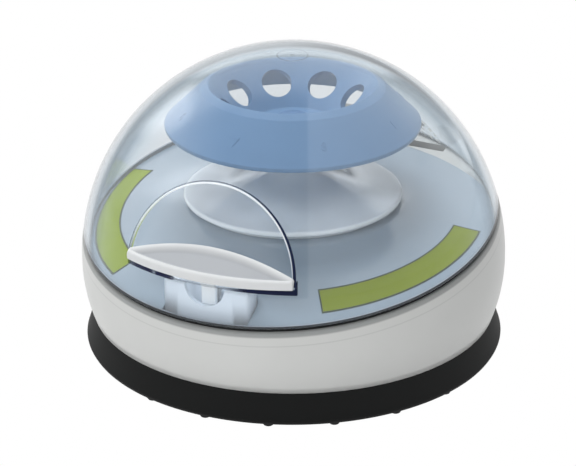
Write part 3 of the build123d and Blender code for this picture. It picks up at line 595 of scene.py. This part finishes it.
# %% Geometry Nodes: copies of a piece on a circle
def on_circle_tree(name, material):
    """A tree that sets copies of its input round the upright axis."""
    tree = bpy.data.node_groups.new(name, "GeometryNodeTree")
    tree.interface.new_socket("Piece", in_out="INPUT", socket_type="NodeSocketGeometry")
    for label, kind in (("Count", "Int"), ("Radius", "Float"), ("Height", "Float"), ("Turn", "Float")):
        tree.interface.new_socket(label, in_out="INPUT", socket_type=f"NodeSocket{kind}")
    tree.interface.new_socket("Ring", in_out="OUTPUT", socket_type="NodeSocketGeometry")
    graph = Graph(tree)
    given = graph.node("NodeGroupInput", result="Piece")
    circle = {"Vertices": given.also("Count"), "Radius": given.also("Radius")}
    points = graph.node("GeometryNodeMeshCircle", {}, circle)
    outwards = {"Vector": graph.node("GeometryNodeInputPosition")}
    facing = graph.node("FunctionNodeAlignEulerToVector", {"axis": "X"}, outwards)
    inputs = {"Points": points, "Instance": given, "Rotation": facing}
    copies = graph.node("GeometryNodeInstanceOnPoints", {}, inputs)
    spin = graph.node("ShaderNodeCombineXYZ", {}, {"Z": given.also("Turn")})
    lift = graph.node("ShaderNodeCombineXYZ", {}, {"Z": given.also("Height")})
    inputs = {"Geometry": copies, "Translation": lift, "Rotation": spin}
    placed = graph.node("GeometryNodeTransform", {}, inputs)
    real = graph.node("GeometryNodeRealizeInstances", {}, {"Geometry": placed})
    coated = graph.node("GeometryNodeSetMaterial", {}, {"Geometry": real, "Material": material})
    graph.node("NodeGroupOutput", {}, {"Ring": coated})
    return tree


def evaluated_mesh(piece):
    """What a piece looks like with its modifiers, as a plain mesh. The piece is removed."""
    bpy.context.view_layer.update()
    reading = bpy.context.evaluated_depsgraph_get()
    mesh = bpy.data.meshes.new_from_object(piece.evaluated_get(reading))
    bpy.data.objects.remove(piece)
    return mesh


def applied(piece, name):
    mesh = evaluated_mesh(piece)
    mesh.name = name
    return from_mesh(name, mesh)


def ring_of(single, name, material, **sizes):
    """Copies of one piece on a circle, as one plain mesh. Sizes are the tree's inputs."""
    tree = on_circle_tree(name + "_tree", material)
    modifier = single.modifiers.new("ring", "NODES")
    modifier.node_group = tree
    for item in tree.interface.items_tree:
        if item.in_out == "INPUT" and item.name in sizes:
            modifier[item.identifier] = sizes[item.name]
    return applied(single, name)


NUB_OUTLINE = [(0, 4.4), (2.7, 4.4), (2.6, 1.6, 0.4), (1.6, 0, 0.4), (0, 0)]
nub = lathe("nub", NUB_OUTLINE, 32)
sizes = {"Count": 20, "Radius": 71.7 * MM, "Height": 0.0, "Turn": 0.0}
nubs = ring_of(nub, "foot_nubs", finishes["black_rubber"], **sizes)
finish(nubs, "base", "black_rubber")

# %% [markdown]
# ## Deck and motor cover
#
# The grey deck slopes at its edge and is level in the middle, and its solid has the right shape. On it
# stands a pale cover with a rolled rim, which rises in a soft bend to a neck round the shaft. It is
# turned from an outline with two curves. The rotor keeps light off the cover's far half, and the boss is
# darker at its foot, so both finishes get painted shade there.

# %% Deck, cover and boss
smooth_copy("deck", "deck_floor", "base")
COVER_RIM = [(37.2, 54.6), (38.9, 54.6, 0.95), (38.9, 56.6, 0.95)]
COVER_CURVES = [
    ((37.9, 56.6), (30.5, 56.7), (25.5, 57.0), (21.4, 58.8)),
    ((21.4, 58.8), (15.8, 61.2), (10.2, 62.2), (8.0, 67.1)),
]
COVER_INSIDE = [(2.6, 67.1), (2.6, 65.1), (6.0, 65.1), (20.9, 56.8)]
COVER_FOOT = [(34.0, 54.6), (34.0, 53.1), (36.0, 53.1), (36.0, 54.6)]
cover_outline = list(COVER_RIM)
for points in COVER_CURVES:
    curve = interpolate_bezier(*[Vector((*point, 0)) for point in points], 16)
    cover_outline += [tuple(point[:2]) for point in curve[1:]]
cover_outline += COVER_INSIDE + COVER_FOOT
finish(lathe("cover_disc", cover_outline, 256), "base", "pale_plastic", "motor_cover")
# Painted shade: the cover's far half is darker, where the rotor keeps light off.
retone(
    finishes["pale_plastic"],
    lambda place: place.dot((0, 1, 0)).ramp(0, 16 * MM),
    paint(164, 174, 182),
)
# Painted shade: the boss is darker towards its foot.
retone(
    finishes["boss_plastic"],
    lambda place: 1.0 - place.dot((0, 0, 1)).ramp(30 * MM, 43 * MM),
    paint(172, 186, 200),
)
smooth_copy("latch_boss", "boss_block", "base", 35)

# %% [markdown]
# ## Stickers on the deck
#
# Two yellow green stickers follow the deck's edge, bare but for their dark outline. The right one is
# painted darker, as painted shade. Each is a thin curved strip that is dropped onto the deck: a ray from
# above finds the surface under every point. Each corner stores its distance to the border, so that the
# outline keeps one width.

# %% Sticker finish
OUTLINE_WIDTH = 0.55 * MM
sticker, graph = blank_material("sticker_vinyl")
place = graph.own_place()
mottle = graph.noise(place, 90.0, 4.0)
across = graph.node("ShaderNodeSeparateXYZ", {}, {0: place}).ramp(-20 * MM, 20 * MM)
# The right sticker is painted darker: painted shade for the deck's front slope, which gets less light.
left_ground = graph.tint(mottle, paint(122, 142, 0), paint(134, 152, 4))
right_shaded_ground = graph.tint(mottle, paint(114, 130, 0), paint(126, 140, 2))
ground = graph.tint(across, left_ground, right_shaded_ground)
inside = graph.stored("border").above(OUTLINE_WIDTH)
sockets = {
    "Base Color": graph.tint(inside, paint(62, 74, 62), ground),
    "Roughness": 0.30 + mottle * 0.08,
    "Specular IOR Level": 0.25,
    "Normal": graph.bump(0.08, 0.03 * MM, graph.noise(place, 1500.0, 2.0)),
}
graph.surface(graph.principled(sockets))


# %% Sticker strips
STICKER_LIFTS = (0.16, 0.02)  # mm over the deck, top and underside
BORDER_STEPS = [0, 0.3, 0.6, 1.2]  # mm from the border, where corners lie close
OVER_DECK = 75 * MM
deck_surface = BVHTree.FromPolygons(
    [vertex.co.copy() for vertex in solids["deck"].data.vertices],
    [tuple(face.vertices) for face in solids["deck"].data.polygons],
)


def close_sheets(work, upper, lower):
    """The faces of a thin block: two grids of corners, and a wall round their border."""
    last = len(upper[0]) - 1
    for rows in (upper, lower):
        for first, second in zip(rows, rows[1:]):
            for n in range(last):
                work.faces.new([first[n], second[n], second[n + 1], first[n + 1]])
    for side in (0, -1):
        for n in range(len(upper) - 1):
            near, far = n, n + 1
            work.faces.new([upper[near][side], upper[far][side], lower[far][side], lower[near][side]])
        for n in range(last):
            top, under = upper[side], lower[side]
            work.faces.new([top[n], top[n + 1], under[n + 1], under[n]])


def sticker_strip(name, inner, outer, start, end, steps=96):
    """A strip between two radii in mm and two angles from the front, in degrees."""
    width, middle = outer - inner, (inner + outer) / 2
    length = math.radians(end - start) * middle
    across = BORDER_STEPS + [width * share for share in (0.25, 0.5, 0.75)]
    across += [width - step for step in BORDER_STEPS[::-1]]
    ends = [0, 0.3, 0.6, length - 0.6, length - 0.3, length]
    along = sorted(ends + [length * n / steps for n in range(1, steps)])
    work = bmesh.new()
    layer = work.verts.layers.float.new("border")
    sheets = []
    for lift in STICKER_LIFTS:
        rows = []
        for run in along:
            azimuth = math.radians(start) + run / middle
            row = []
            for step in across:
                radius = (inner + step) * MM
                x, y = radius * math.sin(azimuth), -radius * math.cos(azimuth)
                hit = deck_surface.ray_cast(Vector((x, y, OVER_DECK)), Vector((0, 0, -1)))[0]
                vertex = work.verts.new((x, y, hit.z + lift * MM))
                vertex[layer] = min(step, width - step, run, length - run) * MM
                row.append(vertex)
            rows.append(row)
        sheets.append(rows)
    close_sheets(work, *sheets)
    mesh = closed_mesh(work, name)
    mesh.materials.append(sticker)
    soften(mesh, 40)
    return finish(from_mesh(name, mesh), "base", "grey_plastic")


sticker_strip("sticker_right", 58.8, 68.2, 32.9, 96)
sticker_strip("sticker_left", 61.6, 70.8, -97, -35.5)

# %% [markdown]
# ## The rotor
#
# The blue rotor is a volcano: a thin skirt, a rounded shoulder and a bowl
# whose wall holds eight tubes at 45 degrees. Its shape follows a rule, so
# the holes are cut by Geometry Nodes: one cutter, a circle of eight copies,
# and a Boolean.

# %% Turned body and tube holes
HUB_AND_UNDERSIDE = [(1.5875, 68.1), (7.0, 68.1, 0.4), (7.0, 79.3, 0.8), (15.5, 79.3, 1.0)]
SKIRT_INSIDE = [(29.3, 93.19, 0.5), (30.8, 92.3, 0.5), (41.69, 80.9, 0.3), (44.8, 80.9, 0.75)]
SKIRT_OUTSIDE = [(44.8, 82.5, 0.55), (32.2, 94.5, 2.2), (29.3, 96.1, 0.5), (28.3, 95.3, 0.4)]
BOWL_FLOOR = [(14.5, 81.5, 1.6), (7.0, 81.5, 0.3), (7.0, 82.1, 0.2), (1.2, 82.1)]
BORE = [(1.2, 79.92), (1.5875, 79.92)]
ROTOR_OUTLINE = HUB_AND_UNDERSIDE + SKIRT_INSIDE + SKIRT_OUTSIDE + BOWL_FLOOR + BORE
TUBE_RADIUS = 5.5
TUBE_CIRCLE = 21.7
TUBE_HEIGHT = 88.7
REST_TURN = -4.5

rotor_body = lathe("rotor_body", ROTOR_OUTLINE, 320)
cutter = lathe("cutter", [(0, -4), (TUBE_RADIUS, -4), (TUBE_RADIUS, 4), (0, 4)], 64)
cutter.data.transform(Matrix.Rotation(math.radians(-45), 4, "Y"))
sizes = {"Count": 8, "Radius": TUBE_CIRCLE * MM, "Height": TUBE_HEIGHT * MM}
sizes["Turn"] = math.radians(REST_TURN)
cutters = ring_of(cutter, "tube_cutters", finishes["blue_plastic"], **sizes)
cut = rotor_body.modifiers.new("tube_holes", "BOOLEAN")
cut.operation = "DIFFERENCE"
cut.solver = "EXACT"
cut.object = cutters
rotor_skin = applied(rotor_body, "rotor_skin")
bpy.data.objects.remove(cutters)
rotor_skin.data.materials.clear()
soften(rotor_skin.data, 28)
finish(rotor_skin, "rotor", "blue_plastic", "rotor")

# %% [markdown]
# ### Numbers by the holes
#
# Each place has its number, raised on the skirt below the hole. A letter
# shape is made flat, turned into a mesh, and then wrapped: its width becomes
# an angle round the axis and its height runs up the cone.

# %% Raised numbers
SKIRT_LOW = Vector((44.8, 82.5))
SKIRT_HIGH = Vector((32.2, 94.5))
slope = (SKIRT_HIGH - SKIRT_LOW).normalized()
outward = Vector((slope.y, -slope.x))
NUMBER_SIZE = 4.93
NUMBER_PLACE = 6.0  # mm up the cone


def raised_number(text, azimuth):
    curve = bpy.data.curves.new("number", "FONT")
    curve.body = text
    curve.align_x = "CENTER"
    curve.size = NUMBER_SIZE
    curve.extrude = 0.1
    curve.resolution_u = 6
    flat = bpy.data.objects.new("number", curve)
    bpy.context.scene.collection.objects.link(flat)
    mesh = evaluated_mesh(flat)
    for vertex in mesh.vertices:
        up_cone = SKIRT_LOW + slope * (NUMBER_PLACE + vertex.co.y)
        place = up_cone + outward * (vertex.co.z + 0.05)
        spin = azimuth + vertex.co.x / up_cone.x
        vertex.co = Vector((place.x * math.cos(spin), place.x * math.sin(spin), place.y)) * MM
    return mesh


work = bmesh.new()
for number in range(8):
    work.from_mesh(raised_number(str(number + 1), math.radians(REST_TURN + 45 * number)))
bmesh.ops.remove_doubles(work, verts=work.verts, dist=1e-7)
mesh = closed_mesh(work, "rotor_numbers")
mesh.shade_flat()
finish(from_mesh("rotor_numbers", mesh), "rotor", "blue_plastic")

# %% [markdown]
# ### Knob
#
# A round knob holds the rotor on its shaft. It is turned from its outline.

# %% Knob
KNOB_TOP = [(0, 84.7), (2.2, 84.7, 0.3), (2.8, 84.3, 0.3), (4.6, 84.65, 0.5), (6.0, 84.0, 0.5)]
KNOB_STEM = [(6.0, 82.1), (1.0, 82.1), (1.0, 73.3), (0, 73.3)]
finish(lathe("rotor_cap", KNOB_TOP + KNOB_STEM, 96), "rotor", "knob_plastic", "rotor_knob")

# %% [markdown]
# ## The lid
#
# The lid is a shell 2.5 mm thick. Its solid is exact, but triangles on a
# sphere would shade in facets, and clear plastic shows that at once. So each
# corner that lies on the outer or the inner sphere gets the sphere's own
# direction as its normal.

# %% Lid with the sphere's own normals
RADII = (OUTER, INNER)


def sphere_of(face_normal, spots, tolerance=0.03 * MM):
    """The radius of the sphere that a face's corners lie on, or nothing."""
    level = abs(face_normal.dot(spots[0]))
    for radius in RADII:
        if level > radius - 3.0 * MM and all(abs(spot.length - radius) < tolerance for spot in spots):
            return radius
    return None


def refine_sphere(mesh, longest=4.0 * MM, rounds=4):
    """Cut the long edges of a shell's round faces and lift the new corners onto the sphere."""
    work = bmesh.new()
    work.from_mesh(mesh)
    for _ in range(rounds):
        work.normal_update()
        home = {}
        for face in work.faces:
            home[face] = sphere_of(face.normal, [vert.co - SPHERE_CENTRE for vert in face.verts])
        round_edges = [edge for edge in work.edges if all(home[face] for face in edge.link_faces)]
        long_edges = [edge for edge in round_edges if edge.calc_length() > longest]
        if not long_edges:
            break
        known = set(work.verts)
        bmesh.ops.subdivide_edges(work, edges=long_edges, cuts=1)
        for vert in work.verts:
            if vert not in known:
                spot = vert.co - SPHERE_CENTRE
                radius = min(RADII, key=lambda value: abs(value - spot.length))
                vert.co = SPHERE_CENTRE + spot.normalized() * radius
        bmesh.ops.triangulate(work, faces=work.faces)
    work.to_mesh(mesh)
    work.free()


def sphere_normals(mesh):
    """Normals that point straight out of, or into, the spheres of a shell."""
    soften(mesh, 28)
    normals = [Vector(corner.vector) for corner in mesh.corner_normals]
    changed = 0
    for face in mesh.polygons:
        spots = [mesh.vertices[index].co - SPHERE_CENTRE for index in face.vertices]
        if sphere_of(face.normal, spots) is None:
            continue
        outside = 1 if face.normal.dot(spots[0]) > 0 else -1
        for corner, spot in zip(face.loop_indices, spots):
            normals[corner] = spot.normalized() * outside
            changed += 1
    mesh.normals_split_custom_set(normals)
    return changed


lid_mesh = merged("lid")
refine_sphere(lid_mesh)
print("corners turned to the sphere:", sphere_normals(lid_mesh))
lid_mesh.materials.clear()
lid_mesh.materials.append(finishes["clear_plastic"])
lid_mesh.materials.append(finishes["lid_edge"])
HINGE_HEIGHT = 62 * MM
low_faces = [face for face in lid_mesh.polygons if face.center.z < HINGE_HEIGHT]
rim_faces = [face for face in low_faces if face.normal.dot(SEAM_UP) < -0.9995]
for face in rim_faces:
    face.material_index = 1
print("faces on the lid's lower edge:", len(rim_faces))
finish(from_mesh("lid_dome", lid_mesh), "lid", "clear_plastic", "lid")

# %% [markdown]
# ### Lines of light on the lid's edges
#
# The window is cut flat, and its rounded edge gathers the light of the backdrop on one side and shows
# the dark of the room on the other. A few samples can't find that light, so slim half round strips carry
# it as painted light: a painted highlight just inside the window's arch, and painted dark reflections
# outside the arch, under the sill and at its corner. Each strip stores how far along and how far across
# each corner lies, and its finish changes tone and clearness along the strip.


# %% Beads
def bead(name, centres, outs, ups, widths, material, height=0.3):
    """A slim half round strip: its curve, its two side directions and its widths in mm."""
    steps = 8
    count = 2 * steps
    work = bmesh.new()
    along_layer = work.verts.layers.float.new("along")
    across_layer = work.verts.layers.float.new("across")
    rows = []
    for index, (centre, out, up, width) in enumerate(zip(centres, outs, ups, widths)):
        row = []
        for step in range(count):
            angle = math.pi * step / steps
            low = 0.3 if step > steps else 1.0
            place = centre + out * (math.cos(angle) * width / 2)
            place = place + up * (math.sin(angle) * height * low)
            vertex = work.verts.new(place * MM)
            vertex[along_layer] = index / (len(centres) - 1)
            vertex[across_layer] = 0.5 + 0.5 * math.cos(angle)
            row.append(vertex)
        rows.append(row)
    for first, second in zip(rows, rows[1:]):
        for step in range(count):
            ahead = (step + 1) % count
            work.faces.new([first[step], first[ahead], second[ahead], second[step]])
    work.faces.new(rows[0])
    work.faces.new(rows[-1][::-1])
    mesh = closed_mesh(work, name)
    mesh.materials.append(material)
    soften(mesh, 50)
    return finish(from_mesh(name, mesh), "lid", "clear_plastic")


def bead_finish(name, tones, solidity, shine=0.5):
    """Stops along a bead: its tone, and how solid it looks."""
    material, graph = blank_material(name)
    along = graph.stored("along")
    shares = [(place, (share, share, share, 1)) for place, share in solidity]
    sockets = {
        "Base Color": graph.stops(along, tones),
        "Roughness": 0.12 + graph.stored("across") * 0.05,
        "Specular IOR Level": shine,
        "Alpha": graph.stops(along, shares),
    }
    graph.surface(graph.principled(sockets))
    return material


def on_sphere(point):
    """The direction out of the lid at a point in mm."""
    return (point - sphere_middle).normalized()


def circle_at(height):
    """The radius in mm of the level circle that the lid has at a height in mm."""
    return math.sqrt(outer_radius**2 - (height - SPHERE_LEVEL) ** 2)


PEARL, NAVY = paint(236, 241, 245), paint(22, 28, 52)
UPRIGHT = Vector((0, 0, 1))
sphere_middle = SPHERE_CENTRE / MM
outer_radius = OUTER / MM
print("the lid's radius at the sill in mm:", round(circle_at(WINDOW_FOOT_Z), 1))

# %% Beads along the window's arch
ARCH_STEPS = 120
WINDOW_FACING = Vector((0, -1, WINDOW_LEAN)).normalized()
WINDOW_UP = Vector((0, WINDOW_LEAN, 1)).normalized()
depth = (Vector((0, WINDOW_FOOT_Y, WINDOW_FOOT_Z)) - sphere_middle).dot(WINDOW_FACING)
window_middle = sphere_middle + WINDOW_FACING * depth
window_radius = math.sqrt(outer_radius**2 - depth**2)
arch = [math.radians(1.5 + 177 * n / ARCH_STEPS) for n in range(ARCH_STEPS + 1)]
spokes = [Vector((1, 0, 0)) * math.cos(t) + WINDOW_UP * math.sin(t) for t in arch]
edge_points = [window_middle + spoke * window_radius for spoke in spokes]
outs = [(spoke - WINDOW_FACING * 0.25).normalized() for spoke in spokes]
ups = [(WINDOW_FACING + on_sphere(point)).normalized() for point in edge_points]

# Painted highlight: a pale strip just inside the window's arch.
pearl = bead_finish(
    "window_light",
    [(0.0, paint(168, 180, 194)), (0.2, PEARL), (0.85, PEARL), (1.0, paint(120, 134, 150))],
    [(0.0, 0.75), (0.5, 0.95), (1.0, 0.6)],
)
inner_points = [point - spoke * 0.35 for point, spoke in zip(edge_points, spokes)]
light_widths = [0.36 + 0.26 * min(1, n / 36) for n in range(ARCH_STEPS + 1)]
bead("window_highlight", inner_points, outs, ups, light_widths, pearl, 0.18)

# Painted dark reflection: a navy strip just outside the window's arch, where the edge shows the dark
# room.
navy = bead_finish(
    "window_dark",
    [(0.0, NAVY), (0.35, paint(40, 50, 78)), (1.0, paint(96, 110, 128))],
    [(0.0, 1.0), (0.28, 0.9), (0.42, 0.35), (0.85, 0.2), (1.0, 0.55)],
    shine=0.1,
)
behind_edge = WINDOW_FACING * 0.12
outer_points = [point + spoke * 0.30 - behind_edge for point, spoke in zip(edge_points, spokes)]
dark_widths = [1.15 - 0.75 * min(1, n / 50) for n in range(ARCH_STEPS + 1)]
bead("window_dark_reflection", outer_points, outs, ups, dark_widths, navy, 0.12)

# %% Beads under the sill and at its corner
SILL_HEIGHT = 50.65
SILL_STEPS = 96
sill_reach = circle_at(SILL_HEIGHT)
sill_points, sill_ups, sill_outs = [], [], []
for n in range(SILL_STEPS + 1):
    turn = math.radians(26.0 - 50.6 * n / SILL_STEPS)
    x, y = math.sin(turn), -math.cos(turn)
    sill_points.append(Vector((x, y, 0)) * sill_reach + UPRIGHT * SILL_HEIGHT)
    up = on_sphere(sill_points[-1])
    sill_ups.append(up)
    sill_outs.append(Vector((x * up.z, y * up.z, -math.hypot(up.x, up.y))))
# Painted dark reflection under the sill, in dashes.
SILL_DASHES = [(0.0, 1.0), (0.26, 0.95), (0.34, 0.3), (0.40, 0.12), (0.66, 0.1), (0.70, 0.85)]
SILL_DASHES += [(0.78, 0.9), (0.80, 0.3), (0.83, 0.85), (0.93, 0.8), (1.0, 0.4)]
dashes = bead_finish("sill_dark", [(0.0, NAVY), (1.0, paint(28, 34, 66))], SILL_DASHES, 0.1)
sill_widths = [2.0 - 1.2 * min(1, n / 36) + 0.6 * (n > 64) for n in range(SILL_STEPS + 1)]
bead("sill_edge", sill_points, sill_outs, sill_ups, sill_widths, dashes, 0.1)

# Painted dark reflection at the sill's corner.
CORNER_X = 31.85
CORNER_STEPS = 12
corner_points = []
for n in range(CORNER_STEPS + 1):
    height = 50.0 + 4.4 * n / CORNER_STEPS
    turn = math.asin(CORNER_X / circle_at(height))
    corner_points.append(Vector((CORNER_X, -CORNER_X / math.tan(turn), height)))
corner_ups = [on_sphere(point) for point in corner_points]
corner_outs = [up.cross(UPRIGHT).normalized() * -1 for up in corner_ups]
corner_widths = [1.4 - 1.0 * n / CORNER_STEPS for n in range(CORNER_STEPS + 1)]
corner_dark = bead_finish("corner_dark", [(0.0, NAVY), (1.0, NAVY)], [(0.0, 1.0), (1.0, 0.9)], 0.1)
bead("sill_corner", corner_points, corner_outs, corner_ups, corner_widths, corner_dark, 0.1)

# %% [markdown]
# ### The gate mark
#
# Molten plastic entered the lid's mould at its top. A faint ring and a dot
# inside the top are left of that.

# %% Gate mark
GATE_RING = [(5.0, 105.45), (5.0, 105.25), (5.5, 105.22), (5.5, 105.42)]
GATE_DOT = [(0, 105.65), (0, 105.4), (0.7, 105.4), (0.7, 105.65)]
GATE_TONE = paint(150, 162, 174)
gate_finish = bead_finish("gate_mark", [(0.0, GATE_TONE), (1.0, GATE_TONE)], [(0.0, 0.25), (1.0, 0.25)])
for name, outline, steps in (("gate_ring", GATE_RING, 96), ("gate_dot", GATE_DOT, 32)):
    mark = lathe(name, outline, steps)
    mark.data.materials.append(gate_finish)
    finish(mark, "lid", "clear_plastic")

# %% [markdown]
# ## Finger tab and latch tongue
#
# The white tab is a wedge on the sill: its back follows the window, its front follows the sphere, and
# its top has a soft dish with a rounded rim. It is made as a grid of corners, which store how deep in
# the dish they lie, so that the dish can get painted shade. The tongue's edges are only rounded: the
# flat faces of its solid are first joined and then bevelled.

# %% The tab
TAB_HALF, TAB_FRONT, TAB_FLOOR, TAB_EDGE = 31.0, 74.06, 51.6, 2.6
TAB_TOP, TAB_TOP_RADIUS = 60.7, 64.0
TAB_RISE = (TAB_TOP - TAB_FLOOR - TAB_EDGE) / (TAB_FRONT - TAB_TOP_RADIUS)
# Painted shade in the tab's dish, deeper where the corner lies deeper (hollow).
retone(finishes["tab_white"], lambda place: place.graph.stored("hollow"), paint(158, 161, 165))


def tab_top(x, y):
    """The height of the tab's top, without its dish. All in mm."""
    return TAB_FLOOR + TAB_EDGE + TAB_RISE * (TAB_FRONT - math.hypot(x, y))


def window_y(z):
    return WINDOW_FOOT_Y + WINDOW_LEAN * (z - WINDOW_FOOT_Z)


def tab_mesh(name, columns=124, rows=28, rim=0.75, soft=1.7, dish=1.25, edge=0.45):
    """The finger tab: a wedge between the sill, its front arc and the window, with a dished top."""
    work = bmesh.new()
    layer = work.verts.layers.float.new("hollow")
    upper, lower = [], []
    for column in range(columns + 1):
        x = -TAB_HALF + 2 * TAB_HALF * column / columns
        front = -math.sqrt(TAB_FRONT**2 - x**2)
        back = front
        for _ in range(30):  # the top meets the window where both agree
            back = window_y(tab_top(x, back))
        tops, feet = [], []
        for row in range(rows + 1):
            share = row / rows
            y = front + (back - front) * share
            near = min((y - front), (back - y), TAB_HALF - abs(x))
            hollow = min(1.0, max(0.0, (near - rim) / soft))
            hollow = hollow * hollow * (3 - 2 * hollow)
            round_off = max(0.0, 1 - near / edge)
            z = tab_top(x, y) - dish * hollow - edge * (1 - math.sqrt(max(0.0, 1 - round_off**2)))
            tops.append(work.verts.new((x * MM, y * MM, z * MM)))
            tops[-1][layer] = hollow
            foot_y = front + (window_y(TAB_FLOOR) - front) * share
            feet.append(work.verts.new((x * MM, foot_y * MM, TAB_FLOOR * MM)))
        upper.append(tops)
        lower.append(feet)
    close_sheets(work, upper, lower)
    mesh = closed_mesh(work, name)
    mesh.materials.append(finishes["tab_white"])
    soften(mesh, 50)
    return mesh


finish(from_mesh("tab_wedge", tab_mesh("tab_wedge")), "lid", "white_plastic", "finger_tab")

# %% The tongue
mesh = merged("latch_tongue")
work = bmesh.new()
work.from_mesh(mesh)
flat = math.radians(0.5)
bmesh.ops.dissolve_limit(work, angle_limit=flat, verts=work.verts, edges=work.edges)
work.to_mesh(mesh)
work.free()
plain = from_mesh("tongue_post_plain", mesh)
bevel = plain.modifiers.new("edges", "BEVEL")
bevel.width = 0.25 * MM
bevel.segments = 3
bevel.limit_method = "ANGLE"
bevel.angle_limit = math.radians(30)
bevel.harden_normals = False
tongue = applied(plain, "tongue_post")
soften(tongue.data, 35)
tongue.data.materials.clear()
tongue.data.materials.append(finishes["tongue_plastic"])
finish(tongue, "lid", slot_of["latch_tongue"], "latch_tongue")

# %% [markdown]
# ## The back of the instrument
#
# The rocker switch, the power inlet and the hinge pin are small and right as
# they are. Their solids are only merged and softened. The rocker's two flats
# meet at a small angle, so its edges stay sharp from a few degrees on.

# %% Small pieces at the back and below
for node, body, angle in (
    ("hinge_pin", "base", 28),
    ("power_switch", "base", 28),
    ("power_inlet", "base", 28),
    ("power_rocker", "rocker", 5),
    ("switch_plunger", "plunger", 28),
    ("base_plate", "base", 28),
    ("base_screws", "base", 28),
    ("lid_switch", "base", 28),
):
    smooth_copy(node, node + "_shape", body, angle)

# %% [markdown]
# ## Floor, light and backdrop
#
# The picture has a white ground. The floor shows the camera plain white. For
# light that bounces, it is an ordinary pale floor. The world is white to the
# camera too, and a soft even grey for lighting. Reflections see a studio:
# bright panels and dark gaps, placed by where they show on the lid.

# %% Floor
FLOOR_REACH = 3.0
corners = [(x * FLOOR_REACH, y * FLOOR_REACH, 0) for x, y in ((-1, -1), (1, -1), (1, 1), (-1, 1))]
floor_mesh = bpy.data.meshes.new("floor")
floor_mesh.from_pydata(corners, [], [(0, 1, 2, 3)])
floor = from_mesh("floor", floor_mesh)
floor_finish, graph = blank_material("floor_paper")
path = graph.node("ShaderNodeLightPath", result="Is Camera Ray")
seen = (path + path.also("Is Glossy Ray") + path.also("Is Transmission Ray")).at_most(1.0)
paper = graph.node("ShaderNodeBsdfDiffuse", {}, {"Color": (0.82, 0.82, 0.82, 1)})
glow = graph.node("ShaderNodeEmission", {}, {"Color": (1, 1, 1, 1), "Strength": 1.0})
graph.surface(graph.blend((seen * 0.8 + path * 0.2).at_most(1.0), paper, glow))
floor.data.materials.append(floor_finish)
print("the floor reaches", FLOOR_REACH, "m each way")

# %% [markdown]
# ### The studio that the lid reflects
#
# A round lid mirrors the whole room. The direction of each mirrored ray is
# turned into the place on the lid where the camera sees it: how far across,
# how far upward, and how nearly it comes back to the eye. The panels are then
# bands of those three values.

# %% World
ROOM_LIGHT = 0.40
LEFT_GLOSS = 0.42
RIGHT_GLOSS = 1.0
WINDOW_SIDE = (-0.39, -0.92, 0.10)
world = bpy.data.worlds.new("studio")
bpy.context.scene.world = world
world.use_nodes = True
world.node_tree.nodes.clear()
graph = Graph(world.node_tree)
direction = graph.node("ShaderNodeTexCoord", result="Generated")
path = graph.node("ShaderNodeLightPath", result="Is Camera Ray")
bounced = (path.also("Is Glossy Ray") + path.also("Is Transmission Ray")).at_most(1.0)
seen = (path + bounced).at_most(1.0)
toward_eye = (direction.dot(tuple(-look)) + 1.0) * 0.5 + 0.0001
across = direction.dot(tuple(side)) / (toward_eye.root() * 2.0)
upward = direction.dot(tuple(top)) / (toward_eye.root() * 2.0)
leftward = across * -1.0
right_panel = across.ramp(0.055, 0.075)
left_glow = leftward.band(0.3, 0.6, 0.76, 0.88) * (1.0 - upward.ramp(0.45, 0.85))
window_glow = direction.dot(WINDOW_SIDE).ramp(0.90, 0.985)
behind = direction.dot(FAR_SIDE).ramp(0.35, 0.62)
near_rim = toward_eye.band(0.075, 0.11, 0.13, 0.19)
right_light = across.ramp(0.6, 0.75) * upward.band(0.15, 0.35, 0.5, 0.62)
shoulder = leftward.ramp(0.42, 0.52) * upward.ramp(0.50, 0.62)
shoulder = shoulder * toward_eye.band(0.12, 0.2, 0.34, 0.44)
far_boxes = near_rim * (upward.ramp(0.78, 0.86) + right_light) + shoulder * 1.2
glows = left_glow * 0.7 + window_glow * 0.9
room = (right_panel * (RIGHT_GLOSS - LEFT_GLOSS) + LEFT_GLOSS + glows).at_most(1.3)
grazing = (1.0 - toward_eye.ramp(0.02, 0.13)) * (across.ramp(-0.2, 0.5) * 0.6 + 0.15)
backed = room + behind * (1.0 - room)
glossy = path.also("Is Glossy Ray")
studio = backed * (1.0 - grazing * glossy) + far_boxes * glossy
brightness = path + studio * (1.0 - path)
shade = graph.node("ShaderNodeCombineXYZ", {}, {axis: brightness for axis in "XYZ"})
room_tone = {"Color": (0.97, 0.98, 1.0, 1), "Strength": ROOM_LIGHT}
lighting = graph.node("ShaderNodeBackground", {}, room_tone)
backdrop = graph.node("ShaderNodeBackground", {}, {"Color": shade, "Strength": 1.0})
mixed = graph.blend(seen, lighting, backdrop)
graph.node("ShaderNodeOutputWorld", {}, {"Surface": mixed})
bpy.context.scene.view_settings.view_transform = "Standard"
print("nodes in the world:", len(world.node_tree.nodes))

# %% [markdown]
# Two soft boxes give the instrument its shape: one in front, above the
# camera's left, and a stronger one high at the back left. They light it, but
# neither the camera nor the lid's reflections show them.


# %% Soft boxes
def soft_box(name, place, size, power):
    """A square light that faces the middle of the instrument. All in metres and watts."""
    lamp = bpy.data.lights.new(name, "AREA")
    lamp.size = size
    lamp.energy = power
    box = bpy.data.objects.new(name, lamp)
    box.location = place
    box.rotation_euler = (BOX_TARGET - Vector(place)).to_track_quat("-Z", "Y").to_euler()
    box.visible_camera = box.visible_glossy = box.visible_transmission = False
    bpy.context.scene.collection.objects.link(box)


BOX_TARGET = Vector((0, 0, 0.05))
soft_box("key_box", (-0.05, -1.20, 0.85), 1.2, 10.4)
soft_box("top_box", (-0.38, 0.40, 1.40), 1.0, 24.0)
